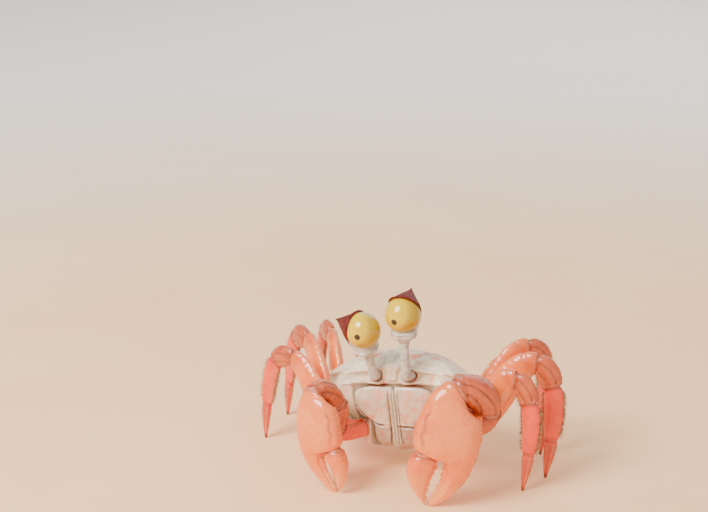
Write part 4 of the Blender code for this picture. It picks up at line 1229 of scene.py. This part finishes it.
def rowTree():  # teeth or beads at even steps along a guide line, standing on the guide's own normals
    tree, given = newTree("edgeTeeth", Step=0.0008, Width=0.0003, Height=0.0004, Seed=2)
    curve = addNode(tree, "GeometryNodeMeshToCurve", {"Mesh": given["Geometry"]})[0]
    steps = {"Curve": curve, "Length": given["Step"]}
    points = addNode(tree, "GeometryNodeCurveToPoints", steps, mode="LENGTH")[0]
    tooth = addNode(tree, "GeometryNodeMeshUVSphere", {"Segments": 8, "Rings": 5, "Radius": 1})["Mesh"]
    uneven = {0: upright(tree, given["Width"], given["Height"]), "Scale": chance(tree, given, 0.75, 1.1)}
    scale = addNode(tree, "ShaderNodeVectorMath", uneven, operation="SCALE")[0]
    return planted(tree, points, standing(tree, named(tree, "stand", "FLOAT_VECTOR")), tooth, scale)


bristleShape = {"sides": 3, "rings": 4, "bend": 0.22, "root": 0.06}  # of a bristle one unit long


def bristleModel():
    sides, rings = bristleShape["sides"], bristleShape["rings"]
    turn, t = evenTurns(sides)[None], np.linspace(0, 1, rings)[:, None]
    radius = bristleShape["root"] * (1 - 0.88 * t)
    across = np.cos(turn) * radius + bristleShape["bend"] * t**2
    points = np.stack([across, np.sin(turn) * radius, t - 0.04 + 0 * turn], -1).reshape(-1, 3)
    faces = []
    for k in range(0, len(points) - sides, sides):
        for i in range(sides):
            j = (i + 1) % sides
            faces.append((k + i, k + j, k + sides + j, k + sides + i))
    faces += [tuple(range(sides))[::-1], tuple(range(len(points) - sides, len(points)))]
    mesh = bpy.data.meshes.new("bristleModel")
    mesh.from_pydata(points.tolist(), [], faces)
    share = mesh.attributes.new("tipShare", "FLOAT", "POINT")
    share.data.foreach_set("value", np.repeat(t, sides).astype(np.float32))
    return bpy.data.objects.new("bristleModel", mesh)


def bristleTree(model):  # bristles leaning along the surface's lie, kept thin and short
    tree, given = newTree("bristles", Spacing=0.0005, Most=3e7, Length=0.0016, Seed=7)
    points = scattered(tree, given, "bristleShare")["Points"]
    shape = addNode(tree, "GeometryNodeObjectInfo", {"Object": model})["Geometry"]
    limits = {0: (-0.22,) * 3, 1: (0.22,) * 3, "Seed": given["Seed"]}
    wobble = addNode(tree, "FunctionNodeRandomValue", limits, data_type="FLOAT_VECTOR")[0]
    lean = addNode(tree, "ShaderNodeVectorMath", {0: named(tree, "lie", "FLOAT_VECTOR"), 1: wobble})[0]
    size = times(tree, given["Length"], chance(tree, given, 0.6, 1.0))
    return planted(tree, points, standing(tree, lean), shape, size)


def bakeMap(piece):  # every bristle gets its own small patch where its root sits on the unwrapped skin
    mesh, sides, rings = piece.data, bristleShape["sides"], bristleShape["rings"]
    local = np.arange(len(mesh.vertices)) % (sides * rings)
    patch = [(local % sides) / (sides - 1), (local // sides) / (rings - 1)]
    places = []
    for label, share in zip(("aroundU", "alongU"), patch):
        root = np.zeros(len(mesh.vertices), np.float32)
        mesh.attributes[label].data.foreach_get("value", root)
        places.append(root + (share - 0.5) * 0.003)
    corner = np.zeros(len(mesh.loops), np.int32)
    mesh.loops.foreach_get("vertex_index", corner)
    layer = mesh.uv_layers.new(name="OFBake")
    layer.data.foreach_set("uv", np.column_stack(places)[corner].ravel().astype(np.float32))


def guideLine(points, stands):
    mesh = bpy.data.meshes.new("guide")
    steps = [(i, i + 1) for i in range(len(points) - 1)]
    mesh.from_pydata(((points + shift) * metre).tolist(), steps, [])
    stand = mesh.attributes.new("stand", "FLOAT_VECTOR", "POINT")
    stand.data.foreach_set("vector", unit(stands).astype(np.float32).ravel())
    guide = bpy.data.objects.new("guide", mesh)
    bpy.context.scene.collection.objects.link(guide)
    return guide


# ---- the whole crab

sides = [
    {"word": "left", "sign": 1, "eye": (-4, -2, 50, 27), "eyeHeight": 20.5, "gaze": (-0.54, -0.1, -0.46),
     "clawSize": 1.0, "armSide": (0.15, -1, 0.1),
     "elbow": (32.6, -20.2, 29.5), "wrist": (24.8, -28.2, 37.5), "tip": (17.8, -33.7, 0.0),
     "legs": [(-55, -89, -97), (-54, -89, -96), (-48, -87, -95), (-28, -80, -91)]},
    {"word": "right", "sign": -1, "eye": (9, 12, 80, 84), "eyeHeight": 16.9, "gaze": (-0.33, -0.1, -0.38),
     "clawSize": 0.76, "armSide": (-0.75, -0.66, 0.0),
     "elbow": (16.8, -22.6, 26.1), "wrist": (22.3, -29.6, 31.7), "tip": (14.2, -33.0, 0.0),
     "legs": [(-18, -74, -86), (-14, -72, -82), (-12, -70, -80), (-8, -68, -80)]},
]
eyePlaces = {side["word"]: eyeFrame(side["sign"], side["eye"], side["eyeHeight"]) for side in sides}

# the CAD stands centred on its own footprint; an eye's middle tells how far that moved it
low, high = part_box("cornea_left")
shift[:] = (np.array(low) + np.array(high)) / 2 / metre - eyePlaces["left"]["middle"]
shift[2] = 0

view = {"azimuth": 17, "elevation": 17.5, "lens": 85, "distance": 552, "aim": (-18.0, 0, 70.0)}
a, e = radians(view["azimuth"]), radians(view["elevation"])
towardView = np.array((sin(a) * cos(e), -cos(a) * cos(e), sin(e)))

shellPiece, edgeLine = carapace()
settle(shellPiece, "shell", "carapace")
settle(thorax(), "under_shell", "thorax")
settle(abdomen(), "under_shell", "abdomen")
settle(mouthSeam(), "mouth_plate")
print("body made")

for side in sides:
    word, sign = side["word"], side["sign"]
    settle(mouthPlate(word, sign), "mouth_plate", "mouth_plate_" + word)
    settle(antenna(word, sign), "mouth_plate")
    place = eyePlaces[word]
    settle(eyeStalk(word, sign, place), "horn", "eyestalk_" + word)
    spotWay = unit(towardView + np.array(side["gaze"]))
    settle(cornea(word, sign, place, spotWay), "cornea", "cornea_" + word)
    claw(word, sign, side)
    for number, angles in enumerate(side["legs"], 1):
        walkingLeg(word, sign, number, angles)
    print(word, "side made")

settle(makePiece("jointSkin", [(grid, {}) for grid in joints], jointSkin), "membrane")
print("joint skin made:", len(joints))

# ---- beads and bristles

beads, rows, made = beadTree(), rowTree(), bpy.data.objects
dome = {"Spacing": 0.00062, "Bead": 0.00021, "Flatness": 0.5}
settle(runTree(beads, made["carapaceShell"], "carapaceBeads", dome, shells["carapaceShell"]), "shell")
beaded = [  # claw piece, finish, slot, spacing and size of its beads
    ("clawPalm", "orangeShell", "limb_upper", 0.00085, 0.00036),
    ("clawFinger", "orangeShell", "limb_upper", 0.0009, 0.0003),
    ("clawArm", "brownShell", "limb_upper", 0.0009, 0.0003),
    ("clawWrist", "brownShell", "limb_joint", 0.0009, 0.00032),
]
for side in sides:
    word = side["word"]
    for source, finish, slotName, spacing, size in beaded:
        settings = {"Spacing": spacing, "Bead": size, "Seed": 9}
        grown = runTree(beads, made[f"{source}_{word}"], f"{source}Beads_{word}", settings, shells[finish])
        settle(grown, slotName)
margin = edgeLine[(edgeLine[:, 0] > 20.5) & (edgeLine[:, 1] < 9)]
x = np.linspace(3.6, 17.5, 80)
ridgeHeight = mix(body["bottom"], marginHeight(x, -17), 0.70)
ridge = np.column_stack([x, -17.15 + 2.4 * (x / body["toothX"]) ** 4, ridgeHeight])
guides = [  # name, points, way up and sizes of the rows on the shell's side edge and under the sockets
    ("marginBeads", np.column_stack([margin, marginHeight(*margin.T) + 0.05]), (1, 0.0, 0.35),
     {"Step": 0.00075, "Width": 0.00026, "Height": 0.00034}),
    ("orbitBeads", ridge, (0, -1, 0.15), {"Step": 0.0007, "Width": 0.00024, "Height": 0.0003}),
]
for side in sides:
    word, sign = side["word"], side["sign"]
    for label, points, stand, sizes in guides:
        flip = np.array((sign, 1, 1))
        stands = np.tile(np.array(stand, float) @ bodyAxes(sign).T * flip, (len(points), 1))
        guide = guideLine(placed(points, sign) * flip, stands)
        settle(runTree(rows, guide, f"{label}_{word}", sizes, shells["carapaceShell"]), "shell")
        bpy.data.objects.remove(guide)
print("beads made")

model = bristleModel()
bristles = bristleTree(model)
legCoats = [  # leg piece, slot, spacing and length of its bristles
    ("Upper", "limb_upper", 0.00075, 0.0010), ("Knee", "limb_joint", 0.0005, 0.0012),
    ("Shin", "limb_lower", 0.00026, 0.0020), ("Foot", "limb_lower", 0.00028, 0.0010),
]
coats = [("thoraxShell", "under_shell", "gillTufts", {"Spacing": 0.00022, "Length": 0.0024}, bristleStraw)]
for side in sides:
    word = side["word"]
    coats.append(("mouthPlate_" + word, "mouth_plate", "mouthBristles_" + word,
                  {"Spacing": 0.00024, "Length": 0.0014}, bristleStraw))
    for number in (1, 2, 3, 4):
        for kind, slotName, spacing, length in legCoats:
            piece = f"leg{number}{kind}"
            coats.append((f"{piece}_{word}", slotName, f"{piece}Bristles_{word}",
                          {"Spacing": spacing, "Length": length, "Seed": number}, bristleHorn))
for source, slotName, name, settings, finish in coats:
    grown = runTree(bristles, made[source], name, settings, finish)
    bakeMap(grown)
    settle(grown, slotName)
bpy.data.objects.remove(model)
print("bristles made:", len(coats))

# ---- floor, light and camera

paint = Nodes("paleFloor")
reach = paint.add("ShaderNodeVectorMath", {0: paint.place}, operation="LENGTH")["Value"]
warm = paint.blend(paint.ramp(paint.noise(60, 3), 0.3, 0.7), rgb(255, 208, 158), rgb(252, 202, 150))
# the floor whitens away from the crab and glows faintly in its own colour: painted light that brightens it
floorTone = paint.blend(paint.ramp(reach, 0.12, 0.75), warm, rgb(255, 250, 242))
paint.paint(Base_Color=floorTone, Roughness=0.85, Emission_Color=floorTone, Emission_Strength=0.22)
ground = bpy.data.meshes.new("floor")
ground.from_pydata([(-4, -4, 0), (4, -4, 0), (4, 4, 0), (-4, 4, 0)], [], [(0, 1, 2, 3)])
floor = linkMesh("floor", ground, paint.material)

world = bpy.data.worlds.new("paleRoom")
bpy.context.scene.world = world
world.use_nodes = True
world.node_tree.nodes["Background"].inputs["Color"].default_value = (1.0, 0.975, 0.94, 1)
world.node_tree.nodes["Background"].inputs["Strength"].default_value = 0.62

lamps = {
    "key": {"place": (-0.34, -0.52, 0.62), "size": 0.4, "power": 12.5, "tone": (1.0, 0.97, 0.92)},
    "fill": {"place": (0.70, -0.55, 0.46), "size": 1.6, "power": 3.0, "tone": (1.0, 0.95, 0.90)},
    "rim": {"place": (0.10, 0.75, 0.60), "size": 1.1, "power": 4.5, "tone": (0.96, 0.98, 1.0)},
}


def stand(thing, place, target):  # a lamp or the camera, turned towards its target
    made = bpy.data.objects.new(thing.name, thing)
    made.location = place
    made.rotation_euler = (target - made.location).to_track_quat("-Z", "Y").to_euler()
    bpy.context.scene.collection.objects.link(made)
    return made


for name, lamp in lamps.items():
    light = bpy.data.lights.new(name, "AREA")
    light.size, light.energy, light.color = lamp["size"], lamp["power"], lamp["tone"]
    stand(light, lamp["place"], Vector((0, 0, 0.025)))

lens = bpy.data.cameras.new("camera")
lens.lens = view["lens"]
lens.clip_start = 0.01
aim = Vector((np.array(view["aim"]) + shift) * metre)
bpy.context.scene.camera = stand(lens, aim + Vector(towardView) * view["distance"] * metre, aim)
print("stage set")
